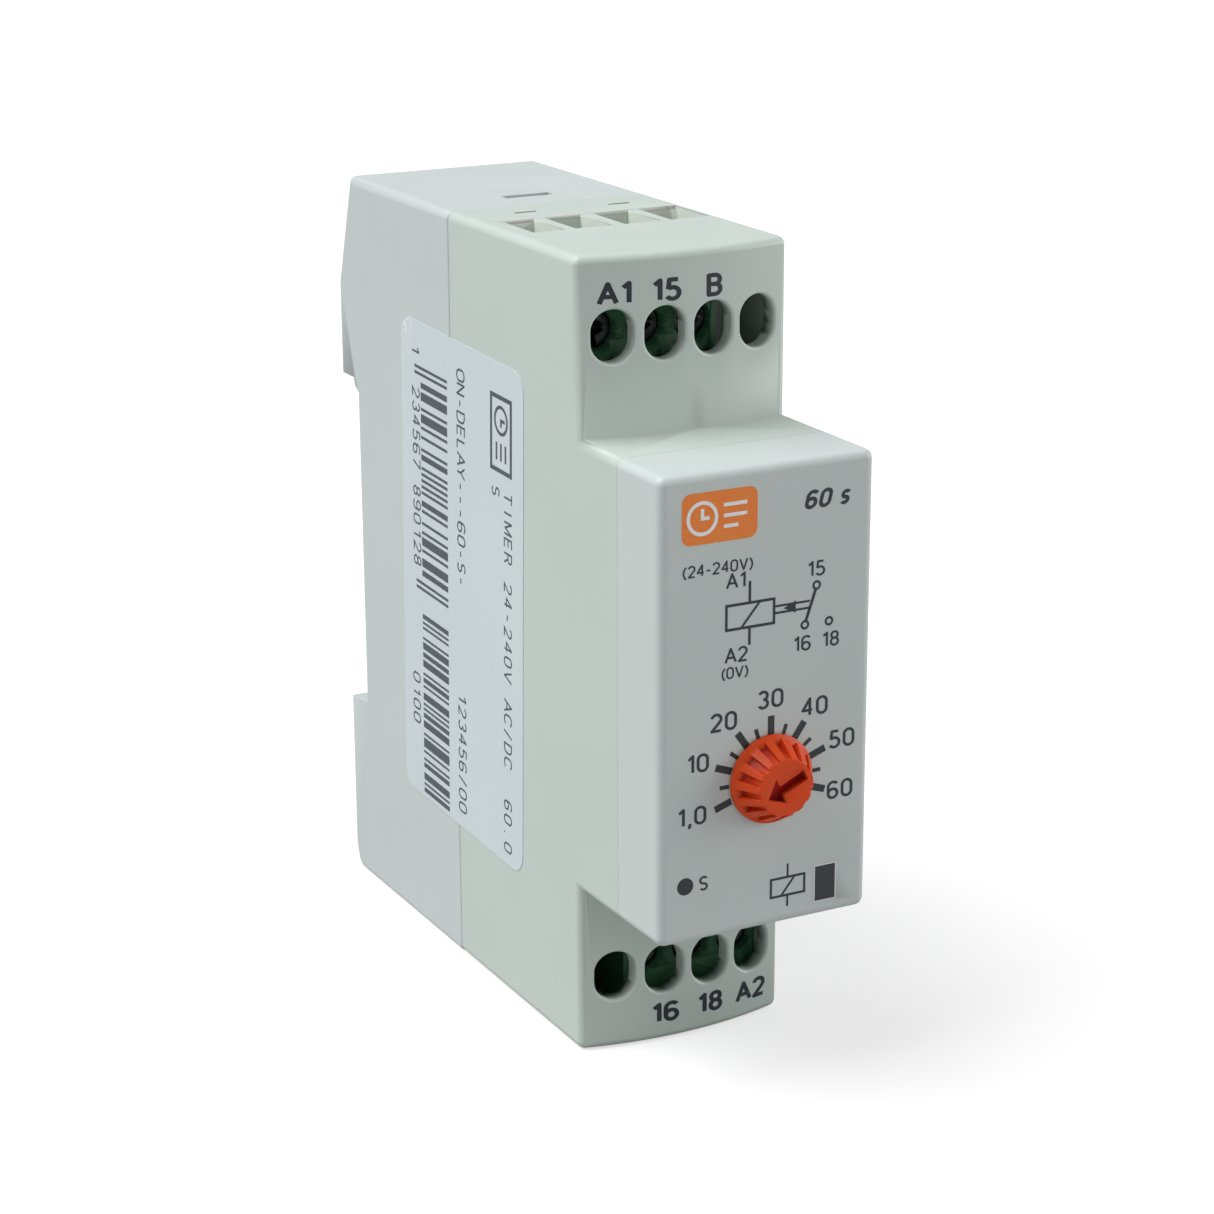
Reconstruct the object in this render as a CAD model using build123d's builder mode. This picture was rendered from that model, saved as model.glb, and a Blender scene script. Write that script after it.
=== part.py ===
from build123d import *
from math import atan, atan2, cos, degrees, radians, sin
import os

# DIN rail timer, one module wide, in millimetres.
# The origin is the middle of the rail seat: the flat wall that rests on the rail's front face.
# +Y points back, into the rail. +Z is up. +X is to the right, seen from the front.

os.makedirs("parts", exist_ok=True)

# --- driving dimensions: casing -------------------------------------------------------------
WIDTH = 22.5                # one rail module and a quarter
HALF = WIDTH / 2
TOP = 40.8
BOTTOM = -38.4
BACK = 4.9                  # rear face, behind the rail seat
SEAM = -23.7                # parting plane between the rear and the main housing
SHOULDER = -51.2            # terminal faces, at their side edges
BULGE = 1.67                # how far the terminal faces crown forward
NOSE_TOP = 23.7
NOSE_BOTTOM = -21.3
CAP_SEAM = -59.4            # parting plane between the nose and its front cap
FRONT = -67.4
WALL = 1.6
SIDE_WALL = 1.1
INNER = HALF - SIDE_WALL
ROUND = 0.9                 # outer edges
SEAM_CHAMFER = 0.22
GAP = 0.05                  # assembly gap between fixed pieces

# --- driving dimensions: rail seat for a 35 mm top-hat rail ---------------------------------
SEAT_HALF = 17.65           # half the 35.3 mm slot
RAIL_THICK = 1.0
HOOK_ROOF = 19.1
HOOK_TIP = 15.7
HOOK_Y = RAIL_THICK + 0.25  # front of the hook lips, just behind the rail's flange

# --- driving dimensions: terminals ----------------------------------------------------------
PITCH = 5.08
COLUMNS = [-1.5 * PITCH, -0.5 * PITCH, 0.5 * PITCH, 1.5 * PITCH]
TOP_ROW = 33.15
BOTTOM_ROW = -30.75
HOLE_WIDE = 4.15
HOLE_HIGH = 5.1
HOLE_LIP = 0.3
ENTRIES = ((-9.0, -5.6), (-4.5, -0.5), (0.8, 4.8), (5.85, 10.15))    # left and right edges of the wire mouths
ENTRY_FRONT = -38.4
ENTRY_BACK = -31.5
BLOCK_FRONT = -48.6
BLOCK_BACK = -31.0
BLOCK_HALF = 5.1
BLOCK_SIDE = 2.46           # block material beyond the centre of its outer ways
SCREW_R = 1.25              # M2.5
SCREW_FIT = 0.05            # radial clearance of the screw in its block and its clamp
CLAMP_TRAVEL = 2.5

# --- driving dimensions: dial ---------------------------------------------------------------
DIAL_X = 0.42
DIAL_Z = -6.35
KNOB_R = 4.3
KNOB_FACE_R = 2.85
KNOB_PROUD = 3.1
FLUTES = 14
FLUTE_WIDE = 0.95           # at the skirt
FLUTE_FLOOR = 3.3           # distance of a flute's floor from the axis, at the skirt
FLUTE_FADE = 2.7            # and at the face
FLUTE_PHASE = 29.5          # degrees from straight up to the first flute, clockwise
POINTER = 115.0             # degrees from straight up to the lower stop, anticlockwise

# --- driving dimensions: boards and relay ---------------------------------------------------
BOARD = 1.6
MAIN_BOARD = -30.9          # front face of the main board
FRONT_BOARD = -57.4         # front face of the board in the nose
RELAY_WIDE = 15.4
RELAY_LOW = -12.0
RELAY_HIGH = 7.0
RELAY_BACK = -13.6


def facing(y, x=0.0, z=0.0, turn=0.0):
    """A plane at depth y that faces the front: sketches read as seen from there, extrusions run forward."""
    across = (cos(radians(turn)), 0, sin(radians(turn)))
    return Plane(origin=(x, y, z), x_dir=across, z_dir=(0, -1, 0))


def block(x0, x1, y0, y1, z0, z1, mode=Mode.ADD):
    """A box between two corners, added to the part being built."""
    with Locations(((x0 + x1) / 2, (y0 + y1) / 2, (z0 + z1) / 2)):
        Box(abs(x1 - x0), abs(y1 - y0), abs(z1 - z0), mode=mode)


def rod(x, z, y0, y1, radius, mode=Mode.ADD):
    """A round bar or bore along Y, from depth y0 forward to y1."""
    with Locations((x, (y0 + y1) / 2, z)):
        Cylinder(radius, abs(y0 - y1), rotation=(90, 0, 0), mode=mode)


def finish(piece, name):
    piece.part.label = name
    export_step(piece.part, f"parts/{name}.step")


# --- rear housing ---------------------------------------------------------------------------
CHANNEL_WIDE = 4.8          # half width of the clip's guide, at the front
CHANNEL_NARROW = 3.6        # half width of its open back
CHANNEL_STEP = 2.9
POST_LOW = -34.2
POST_HIGH = -32.2

with BuildPart() as rear_housing:
    with BuildSketch(Plane.YZ.offset(-HALF)):
        with BuildLine():
            Polyline(
                (SEAM, TOP),
                (1.2, TOP),
                (BACK, 29.1),
                (BACK, 19.8),
                (4.3, HOOK_ROOF),
                (1.2, HOOK_ROOF),
                (1.0, 18.2),
                (0, SEAT_HALF),
                (0, -SEAT_HALF),
                (4.2, -SEAT_HALF - 0.3),
                (BACK - 0.1, -SEAT_HALF - 1.3),
                (BACK - 0.1, -35.9),
                (4.1, -37.8),
                (3.2, BOTTOM),
                (SEAM, BOTTOM),
                close=True,
            )
        make_face()
    extrude(amount=WIDTH)
    rims = rear_housing.edges().filter_by(lambda e: abs(abs(e.center().X) - HALF) < 0.01)
    crown = rims.filter_by(lambda e: e.center().Z > 24 and e.center().Y > SEAM + 1)
    sole = rims.filter_by(lambda e: e.center().Z < -24 and e.center().Y > SEAM + 1)
    fillet(crown, ROUND)
    fillet(sole, ROUND * 0.8)
    mouth = rear_housing.faces().sort_by(Axis.Y)[0].edges()
    chamfer(mouth, SEAM_CHAMFER)
    # cavity behind the seam, running up behind the hook
    with BuildSketch(Plane.YZ.offset(-INNER)):
        with BuildLine():
            Polyline(
                (SEAM - 1, TOP - WALL),
                (0.1, TOP - WALL),
                (BACK - WALL, 28.8),
                (BACK - WALL, SEAT_HALF + 3.2),
                (-WALL, SEAT_HALF + 3.2),
                (-WALL, BOTTOM + WALL),
                (SEAM - 1, BOTTOM + WALL),
                close=True,
            )
        make_face()
    extrude(amount=2 * INNER, mode=Mode.SUBTRACT)
    # pockets either side of the clip channel keep the lower block's walls even
    for side in (-1, 1):
        block(side * INNER, side * (CHANNEL_WIDE + 1.3), -WALL, BACK - WALL, BOTTOM + WALL, -SEAT_HALF - WALL,
              mode=Mode.SUBTRACT)
    # stepped channel for the sliding clip, open to the rail slot, the back and the bottom
    block(-CHANNEL_WIDE, CHANNEL_WIDE, HOOK_Y, CHANNEL_STEP, BOTTOM - 1, -SEAT_HALF + 1, mode=Mode.SUBTRACT)
    block(-CHANNEL_NARROW, CHANNEL_NARROW, CHANNEL_STEP - 0.1, BACK + 1, BOTTOM - 1, -SEAT_HALF + 1,
          mode=Mode.SUBTRACT)
    block(-1.1, 1.1, 0, 3.4, POST_LOW, POST_HIGH)
    # fixed hook: two lips that hang behind the rail's upper flange
    for side in (-1, 1):
        with BuildSketch(Plane.YZ.offset(side * 5.2 - 1.6)):
            with BuildLine():
                Polyline(
                    (HOOK_Y, HOOK_ROOF + 0.5),
                    (HOOK_Y, HOOK_TIP + 0.4),
                    (HOOK_Y + 0.5, HOOK_TIP),
                    (2.5, HOOK_TIP),
                    (3.9, HOOK_ROOF + 0.5),
                    close=True,
                )
            make_face()
        extrude(amount=3.2)
    # windows in the top and the bottom wall for the main housing's latches
    for level in (TOP, BOTTOM):
        block(-2.65, 2.65, -19.6, -18.2, level - 3, level + 3, mode=Mode.SUBTRACT)
finish(rear_housing, "rear_housing")

# --- main housing ---------------------------------------------------------------------------
LATCH_END = -17.7
TONGUE = 1.1

with BuildPart() as main_housing:
    with BuildSketch(Plane.XY.offset(BOTTOM)):
        with BuildLine():
            Polyline((-HALF, SHOULDER), (-HALF, SEAM), (HALF, SEAM), (HALF, SHOULDER))
            ThreePointArc((HALF, SHOULDER), (0, SHOULDER - BULGE), (-HALF, SHOULDER))
        make_face()
    extrude(amount=TOP - BOTTOM)
    block(-HALF, HALF, SHOULDER + 6, CAP_SEAM, NOSE_BOTTOM, NOSE_TOP)
    outer = main_housing.edges()
    corners = outer.filter_by(Axis.Z).filter_by(lambda e: abs(e.center().Y - SHOULDER) < 0.2)
    ends = outer.filter_by(
        lambda e: min(abs(e.center().Z - TOP), abs(e.center().Z - BOTTOM)) < 0.01 and e.center().Y < SEAM - 1
    )
    nose = outer.filter_by(Axis.Y).filter_by(lambda e: e.center().Y < SHOULDER and abs(e.center().Z) < NOSE_TOP + 1)
    fillet(corners + ends + nose, ROUND)
    mouth = main_housing.faces().sort_by(Axis.Y)[-1].edges()
    chamfer(mouth, SEAM_CHAMFER)
    # cavity, following the crowned terminal faces
    with BuildSketch(Plane.XY.offset(BOTTOM + WALL)):
        with BuildLine():
            Polyline((-INNER, SHOULDER + WALL), (-INNER, SEAM + 1), (INNER, SEAM + 1), (INNER, SHOULDER + WALL))
            ThreePointArc((INNER, SHOULDER + WALL), (0, SHOULDER + WALL - BULGE), (-INNER, SHOULDER + WALL))
        make_face()
    extrude(amount=TOP - BOTTOM - 2 * WALL, mode=Mode.SUBTRACT)
    block(-INNER, INNER, SHOULDER + 6, CAP_SEAM - 1, NOSE_BOTTOM + WALL, NOSE_TOP - WALL, mode=Mode.SUBTRACT)
    # collars that deepen the wire entries
    block(-INNER, INNER, ENTRY_FRONT - 1.3, ENTRY_BACK + 1.3, TOP - WALL, TOP - WALL - 0.8)
    block(-INNER, INNER, ENTRY_FRONT - 1.3, ENTRY_BACK + 1.3, BOTTOM + WALL, BOTTOM + WALL + 0.7)
    for left, right in ENTRIES:
        block(left, right, ENTRY_FRONT, ENTRY_BACK, TOP - 3, TOP + 1, mode=Mode.SUBTRACT)
        block(left, right, ENTRY_FRONT, ENTRY_BACK, BOTTOM - 1, BOTTOM + 3, mode=Mode.SUBTRACT)
    # shallow step that joins the back edges of the entries
    for level in (TOP, BOTTOM):
        block(-9.4, 9.4, ENTRY_BACK - 0.1, ENTRY_BACK + 0.15, level - 0.25, level + 0.25, mode=Mode.SUBTRACT)
        for slot in (-4.6, 5.8):
            block(slot - 1.25, slot + 1.25, -28.1, -27.5, level - 3, level + 3, mode=Mode.SUBTRACT)
    # screw holes through the terminal faces
    for row in (TOP_ROW, BOTTOM_ROW):
        with BuildSketch(facing(SHOULDER + 3, 0, row)):
            with Locations(*[(column, 0) for column in COLUMNS]):
                SlotOverall(HOLE_HIGH, HOLE_WIDE, rotation=90)
        extrude(amount=6, mode=Mode.SUBTRACT)
    crowned = main_housing.faces().filter_by(lambda f: f.center().Y < SHOULDER - 0.5 and len(f.inner_wires()) == 4)
    rims = [edge for face in crowned for wire in face.inner_wires() for edge in wire.edges()]
    fillet(rims, HOLE_LIP)
    # latch tongues reach back inside the rear housing and click into its windows
    for level, inward in ((TOP - WALL, -1), (BOTTOM + WALL, 1)):
        root = level
        clear = level + inward * GAP
        block(-2.4, 2.4, SEAM - 2.2, SEAM - 0.4, root, level + inward * TONGUE)
        block(-2.4, 2.4, SEAM - 1.0, LATCH_END, clear, level + inward * TONGUE)
        block(-2.4, 2.4, -19.4, -18.4, clear, level - inward * 0.9)
finish(main_housing, "main_housing")

# --- front cap ------------------------------------------------------------------------------
WINDOW = (5.5, 7.75, -19.75, -16.2)
KNOB_STEM = 2.92
NOSE_MID = (NOSE_TOP + NOSE_BOTTOM) / 2
NOSE_HIGH = NOSE_TOP - NOSE_BOTTOM

with BuildPart() as front_cap:
    with BuildSketch(facing(CAP_SEAM, 0, NOSE_MID)):
        RectangleRounded(WIDTH, NOSE_HIGH, ROUND)
    extrude(amount=CAP_SEAM - FRONT)
    fillet(front_cap.faces().sort_by(Axis.Y)[0].edges(), ROUND)
    block(-INNER, INNER, CAP_SEAM + 1, FRONT + WALL, NOSE_BOTTOM + WALL, NOSE_TOP - WALL, mode=Mode.SUBTRACT)
    # inner lip that locates the cap in the nose
    lip_top = NOSE_TOP - WALL - GAP
    lip_bottom = NOSE_BOTTOM + WALL + GAP
    lip_side = INNER - GAP
    block(-lip_side, lip_side, CAP_SEAM + 1.6, CAP_SEAM, lip_bottom, lip_bottom + 0.8)
    block(-lip_side, lip_side, CAP_SEAM + 1.6, CAP_SEAM, lip_top - 0.8, lip_top)
    block(-lip_side, lip_side, CAP_SEAM, CAP_SEAM - 1.0, lip_bottom - 0.2, lip_bottom + 0.8)
    block(-lip_side, lip_side, CAP_SEAM, CAP_SEAM - 1.0, lip_top - 0.8, lip_top + 0.2)
    # dial hole and lamp window
    rod(DIAL_X, DIAL_Z, FRONT + 3, FRONT - 1, KNOB_STEM + 0.08, mode=Mode.SUBTRACT)
    block(WINDOW[0], WINDOW[1], FRONT - 1, FRONT + 3, WINDOW[2], WINDOW[3], mode=Mode.SUBTRACT)
finish(front_cap, "front_cap")

with BuildPart() as led_window:
    block(WINDOW[0] + GAP, WINDOW[1] - GAP, FRONT + 0.05, FRONT + 1.7, WINDOW[2] + GAP, WINDOW[3] - GAP)
    block(WINDOW[0] - 0.6, WINDOW[1] + 0.6, FRONT + WALL, FRONT + 2.3, NOSE_BOTTOM + WALL + GAP,
          WINDOW[3] + 0.6)
finish(led_window, "led_window")

# --- side sticker ---------------------------------------------------------------------------
STICKER_THICK = 0.08
STICKER_LEAN = -2.0

with BuildPart() as side_sticker:
    with BuildSketch(Plane(origin=(-HALF, -25.4, 2.1), x_dir=(0, -1, 0), z_dir=(-1, 0, 0))):
        RectangleRounded(28.2, 52.0, 2.2, rotation=STICKER_LEAN)
    extrude(amount=STICKER_THICK)
finish(side_sticker, "side_sticker")

# --- rail clip and its spring ---------------------------------------------------------------
CLIP_SIDE = CHANNEL_WIDE - 0.2
CLIP_NECK = CHANNEL_NARROW - 0.2
CLIP_LOW = BOTTOM + 0.6
CLIP_TIP = -15.9
CLIP_FRONT = HOOK_Y + 0.15
SPRING_TOP = -24.3
SPRING_HALF = 1.25

with BuildPart() as rail_clip:
    block(-CLIP_SIDE, CLIP_SIDE, CLIP_FRONT, CHANNEL_STEP - 0.15, CLIP_LOW, -SEAT_HALF - 0.3)
    block(-CLIP_NECK, CLIP_NECK, CHANNEL_STEP - 0.2, BACK - 0.5, CLIP_LOW, -SEAT_HALF - 0.5)
    # nose that rises behind the rail's lower flange, with a lead-in ramp for snapping on
    with BuildSketch(Plane.YZ.offset(-CLIP_NECK)):
        with BuildLine():
            Polyline(
                (CLIP_FRONT, -SEAT_HALF - 1),
                (CLIP_FRONT, CLIP_TIP - 0.5),
                (CLIP_FRONT + 0.5, CLIP_TIP),
                (2.3, CLIP_TIP),
                (BACK - 0.5, -SEAT_HALF - 0.5),
                (BACK - 0.5, -SEAT_HALF - 1),
                close=True,
            )
        make_face()
    extrude(amount=2 * CLIP_NECK)
    # window that holds the spring and the housing's post
    block(-SPRING_HALF - 0.25, SPRING_HALF + 0.25, 0, BACK + 1, POST_LOW - 0.15, SPRING_TOP, mode=Mode.SUBTRACT)
    # notch for a screwdriver blade, and grip ridges on the back
    block(-2.2, 2.2, 2.6, BACK, CLIP_LOW - 1, CLIP_LOW + 1.6, mode=Mode.SUBTRACT)
    for step in range(3):
        z = -20.2 - 1.3 * step
        block(-CLIP_NECK, CLIP_NECK, BACK - 0.8, BACK, z, z - 0.5, mode=Mode.SUBTRACT)
finish(rail_clip, "rail_clip")

SPRING_LOW = POST_HIGH + 0.05
SPRING_TURNS = 5
SPRING_WIRE = 0.28
spring_step = (SPRING_TOP - 0.05 - SPRING_LOW - 0.3) / SPRING_TURNS

with BuildPart() as clip_spring:
    with BuildSketch(facing(3.0)):
        with BuildLine():
            points = [(0, SPRING_LOW + 0.15)]
            for turn in range(SPRING_TURNS):
                reach = SPRING_HALF - 0.25 if turn % 2 == 0 else -SPRING_HALF + 0.25
                points.append((reach, SPRING_LOW + 0.15 + spring_step * (turn + 0.5)))
            points.append((0, SPRING_TOP - 0.2))
            FilletPolyline(*points, radius=0.3)
        trace(line_width=SPRING_WIRE)
    extrude(amount=1.4)
finish(clip_spring, "clip_spring")

# --- terminal blocks, their contact bars, clamps and screws ---------------------------------
HEAD_R = 1.85
HEAD_FRONT = -48.0
HEAD_BACK = -46.2
CLAMP_FRONT = -40.3
WEB_BACK = CLAMP_FRONT - CLAMP_TRAVEL - 0.3     # rear of the web that holds the screw head
CLAMP_BACK = -32.4
CLAMP_HALF = 1.75
CLAMP_WALL = 0.45
BAR_FRONT = -38.4
BAR_BACK = -37.6
SHANK_END = -38.7


def terminal_block(row, outward, ways):
    """One green block: a screw well, a clamp chamber and a wire mouth for each way."""
    with BuildPart() as body:
        block(ways[0] - BLOCK_SIDE, ways[-1] + BLOCK_SIDE, BLOCK_FRONT, BLOCK_BACK, row - BLOCK_HALF, row + BLOCK_HALF)
        for way in ways:
            rod(way, row, HEAD_BACK + 0.05, BLOCK_FRONT - 1, HEAD_R + 0.12, mode=Mode.SUBTRACT)
            rod(way, row, WEB_BACK + 1, BLOCK_FRONT, SCREW_R + SCREW_FIT, mode=Mode.SUBTRACT)
            block(way - 1.98, way + 1.98, WEB_BACK, BLOCK_BACK - 0.7, row - outward * 3.7, row + outward * 2.6,
                  mode=Mode.SUBTRACT)
            block(way - 1.75, way + 1.75, -37.4, -33.0, row, row + outward * 6, mode=Mode.SUBTRACT)
            block(way - 0.8, way + 0.8, BLOCK_BACK - 1, BLOCK_BACK + 1, row - outward * 3.7, row - outward * 2.6,
                  mode=Mode.SUBTRACT)
            # moulded dimple beside each well
            rod(way + 1.5, row - outward * 3.4, BLOCK_FRONT + 0.5, BLOCK_FRONT - 1, 0.45, mode=Mode.SUBTRACT)
    return body


def contact_bars(row, outward, ways):
    """Tinned bars inside the clamps, each with a leg through the board."""
    with BuildPart() as bars:
        for way in ways:
            block(way - 0.9, way + 0.9, BAR_FRONT, BAR_BACK, row - outward * 3.5, row + outward * 1.6)
            block(way - 0.6, way + 0.6, BAR_BACK, MAIN_BOARD + BOARD + 0.9, row - outward * 3.5, row - outward * 2.8)
    return bars


def wire_clamp(row, way):
    """A box clamp that rises on its screw and grips the wire against the bar."""
    with BuildPart() as clamp:
        block(way - CLAMP_HALF, way + CLAMP_HALF, CLAMP_FRONT, CLAMP_BACK, row - 2.3, row + 2.3)
        inner = CLAMP_HALF - CLAMP_WALL
        block(way - inner, way + inner, CLAMP_FRONT + 1.4, CLAMP_BACK - 1.0, row - 3, row + 3, mode=Mode.SUBTRACT)
        rod(way, row, CLAMP_FRONT + 2, CLAMP_FRONT - 1, SCREW_R + SCREW_FIT, mode=Mode.SUBTRACT)
    return clamp


def terminal_screw(row, way):
    """An M2.5 cheese-head screw with a combined slot and cross recess."""
    with BuildPart() as screw:
        rod(way, row, HEAD_BACK, HEAD_FRONT, HEAD_R)
        fillet(screw.edges().filter_by(GeomType.CIRCLE).sort_by(Axis.Y)[0], 0.35)
        rod(way, row, SHANK_END, HEAD_BACK, SCREW_R)
        chamfer(screw.edges().filter_by(GeomType.CIRCLE).sort_by(Axis.Y)[-1], 0.3)
        block(way - 0.3, way + 0.3, HEAD_FRONT - 1, HEAD_FRONT + 0.9, row - 3, row + 3, mode=Mode.SUBTRACT)
        block(way - 1.1, way + 1.1, HEAD_FRONT - 1, HEAD_FRONT + 0.8, row - 0.3, row + 0.3, mode=Mode.SUBTRACT)
    return screw


TERMINALS = {
    "top": (TOP_ROW, 1, COLUMNS[:3], ("a1", "15", "b")),
    "bottom": (BOTTOM_ROW, -1, COLUMNS[1:], ("16", "18", "a2")),
}
for place, (row, outward, ways, marks) in TERMINALS.items():
    finish(terminal_block(row, outward, ways), f"terminal_block_{place}")
    finish(contact_bars(row, outward, ways), f"contact_bars_{place}")
    for way, mark in zip(ways, marks):
        finish(wire_clamp(row, way), f"wire_clamp_{mark}")
        finish(terminal_screw(row, way), f"terminal_screw_{mark}")

# --- circuit boards and the pins that join them ---------------------------------------------
LINK_ROWS = (9.0, 11.54)
LINK_COLUMNS = [PITCH / 2 * k for k in (-2, -1, 0, 1, 2)]
PIN = 0.32                  # half the side of a square pin
RELAY_PINS = [(-6.0, 5.0), (6.0, 5.0), (-6.0, -9.5), (6.0, -9.5), (0, 5.6)]

with BuildPart() as main_board:
    block(-9.7, 9.7, MAIN_BOARD, MAIN_BOARD + BOARD, BOTTOM + 2.4, TOP - 2.6)
    for place, (row, outward, ways, marks) in TERMINALS.items():
        for way in ways:
            block(way - 0.75, way + 0.75, MAIN_BOARD - 1, MAIN_BOARD + 3, row - outward * 3.7, row - outward * 2.6,
                  mode=Mode.SUBTRACT)
    for x in LINK_COLUMNS:
        for z in LINK_ROWS:
            rod(x, z, MAIN_BOARD + 3, MAIN_BOARD - 1, 0.5, mode=Mode.SUBTRACT)
    for x, z in RELAY_PINS:
        rod(x, z, MAIN_BOARD + 3, MAIN_BOARD - 1, 0.55, mode=Mode.SUBTRACT)
finish(main_board, "main_board")

with BuildPart() as front_board:
    block(-9.7, 9.7, FRONT_BOARD, FRONT_BOARD + BOARD, NOSE_BOTTOM + 2.9, NOSE_TOP - 2.9)
    for x in LINK_COLUMNS:
        for z in LINK_ROWS:
            rod(x, z, FRONT_BOARD + 3, FRONT_BOARD - 1, 0.5, mode=Mode.SUBTRACT)
finish(front_board, "front_board")

with BuildPart() as link_headers:
    for face, forward in ((FRONT_BOARD + BOARD, 1), (MAIN_BOARD, -1)):
        block(-6.4, 6.4, face, face + forward * 2.5, LINK_ROWS[0] - 1.27, LINK_ROWS[1] + 1.27)
    for x in LINK_COLUMNS:
        for z in LINK_ROWS:
            rod(x, z, MAIN_BOARD + 1, FRONT_BOARD - 1, 0.5, mode=Mode.SUBTRACT)
finish(link_headers, "link_headers")

with BuildPart() as link_pins:
    for x in LINK_COLUMNS:
        for z in LINK_ROWS:
            block(x - PIN, x + PIN, FRONT_BOARD - 0.9, MAIN_BOARD + BOARD + 0.9, z - PIN, z + PIN)
finish(link_pins, "link_pins")

# --- dial and potentiometer -----------------------------------------------------------------
POT_FRONT = -62.0
ROTOR_FRONT = -62.6
ROTOR_R = 2.6
SKIRT = 0.5

with BuildPart() as pot_body:
    block(DIAL_X - 4.75, DIAL_X + 4.75, FRONT_BOARD - 0.02, POT_FRONT, DIAL_Z - 4.75, DIAL_Z + 4.75)
    chamfer(pot_body.edges().filter_by(Axis.Y), 0.6)
    rod(DIAL_X, DIAL_Z, -59.6, POT_FRONT - 1, ROTOR_R + 0.06, mode=Mode.SUBTRACT)
finish(pot_body, "pot_body")

with BuildPart() as pot_rotor:
    rod(DIAL_X, DIAL_Z, -59.7, ROTOR_FRONT, ROTOR_R)
    block(DIAL_X - 0.45, DIAL_X + 0.45, ROTOR_FRONT - 1, ROTOR_FRONT + 1.2, DIAL_Z - 1.9, DIAL_Z + 1.9,
          mode=Mode.SUBTRACT)
finish(pot_rotor, "pot_rotor")

knob_back = FRONT - 0.12
knob_front = FRONT - KNOB_PROUD
skirt_front = knob_back - SKIRT
cone = skirt_front - knob_front
cone_base = KNOB_R - 0.15
knob_taper = degrees(atan2(cone_base - KNOB_FACE_R, cone))
flute_slope = (FLUTE_FLOOR - FLUTE_FADE) / cone
flute_tilt = atan(flute_slope)
flute_length = cone + 0.4

with BuildPart() as dial_knob:
    rod(DIAL_X, DIAL_Z, knob_back, skirt_front, KNOB_R)
    chamfer(dial_knob.edges().filter_by(GeomType.CIRCLE).sort_by(Axis.Y)[0], 0.12)
    with BuildSketch(facing(skirt_front, DIAL_X, DIAL_Z)):
        Circle(cone_base)
    extrude(amount=cone, taper=knob_taper)
    fillet(dial_knob.edges().filter_by(GeomType.CIRCLE).sort_by(Axis.Y)[0], 0.3)
    # wedge-shaped flutes down the cone, deep and wide at the skirt, running out at the face
    for flute in range(FLUTES):
        turn = radians(FLUTE_PHASE + flute * 360 / FLUTES)
        reach = FLUTE_FLOOR - flute_slope * flute_length / 2
        floor = (DIAL_X + reach * sin(turn), skirt_front - flute_length / 2, DIAL_Z + reach * cos(turn))
        outward = (sin(turn) * cos(flute_tilt), -sin(flute_tilt), cos(turn) * cos(flute_tilt))
        with BuildSketch(Plane(origin=floor, x_dir=(cos(turn), 0, -sin(turn)), z_dir=outward)):
            Trapezoid(FLUTE_WIDE, flute_length / cos(flute_tilt), 86, rotation=180)
        extrude(amount=1.5, mode=Mode.SUBTRACT)
    # recessed arrow, at the lower stop
    with BuildSketch(facing(knob_front, DIAL_X, DIAL_Z, turn=POINTER)):
        with BuildLine():
            Polyline(
                (0, 2.15),
                (1.42, 0.58),
                (0.55, 0.52),
                (0.55, -2.25),
                (-0.55, -2.25),
                (-0.55, 0.52),
                (-1.42, 0.58),
                close=True,
            )
        make_face()
    extrude(amount=-1.0, mode=Mode.SUBTRACT)
    # stem through the cap, with the blade that turns the rotor
    rod(DIAL_X, DIAL_Z, ROTOR_FRONT, knob_back, KNOB_STEM)
    block(DIAL_X - 0.4, DIAL_X + 0.4, ROTOR_FRONT - 0.1, ROTOR_FRONT + 1.1, DIAL_Z - 1.85, DIAL_Z + 1.85)
finish(dial_knob, "dial_knob")

# --- status lamp ----------------------------------------------------------------------------
lamp_x = (WINDOW[0] + WINDOW[1]) / 2
lamp_z = -18.0

with BuildPart() as status_lamp:
    block(lamp_x - 1.0, lamp_x + 1.0, FRONT_BOARD - 0.02, FRONT + 2.8, lamp_z - 0.35, lamp_z + 1.6)
    fillet(status_lamp.edges().filter_by(Axis.Y), 0.3)
finish(status_lamp, "status_lamp")

# --- relay ----------------------------------------------------------------------------------
RELAY_FRONT = MAIN_BOARD + BOARD
BASE_TOP = RELAY_FRONT + 1.9
CASE_WALL = 0.7
COIL_Z = -5.5
CORE_R = 1.6
CORE_FRONT = -27.05
CORE_BACK = -17.85
FLANGE = 0.6
FLANGE_BACK = -18.1
YOKE_Z = 0.3
YOKE_BACK = -17.35
ARM_FRONT = -17.2
ARM_BACK = -16.4
BLADE_BACK = -16.2
CONTACT_Z = 4.4
HINGE_Z = 0.8

with BuildPart() as relay_base:
    block(-RELAY_WIDE / 2, RELAY_WIDE / 2, RELAY_FRONT, BASE_TOP, RELAY_LOW, RELAY_HIGH)
finish(relay_base, "relay_base")

with BuildPart() as relay_case:
    block(-RELAY_WIDE / 2, RELAY_WIDE / 2, BASE_TOP, RELAY_BACK, RELAY_LOW, RELAY_HIGH)
    fillet(relay_case.edges().filter_by(Axis.Y), 0.5)
    block(-RELAY_WIDE / 2 + CASE_WALL, RELAY_WIDE / 2 - CASE_WALL, BASE_TOP - 1, RELAY_BACK - CASE_WALL,
          RELAY_LOW + CASE_WALL, RELAY_HIGH - CASE_WALL, mode=Mode.SUBTRACT)
finish(relay_case, "relay_case")

with BuildPart() as relay_pins:
    for x, z in RELAY_PINS:
        rod(x, z, RELAY_FRONT - 0.02, MAIN_BOARD - 0.6, 0.45)
finish(relay_pins, "relay_pins")

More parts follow.
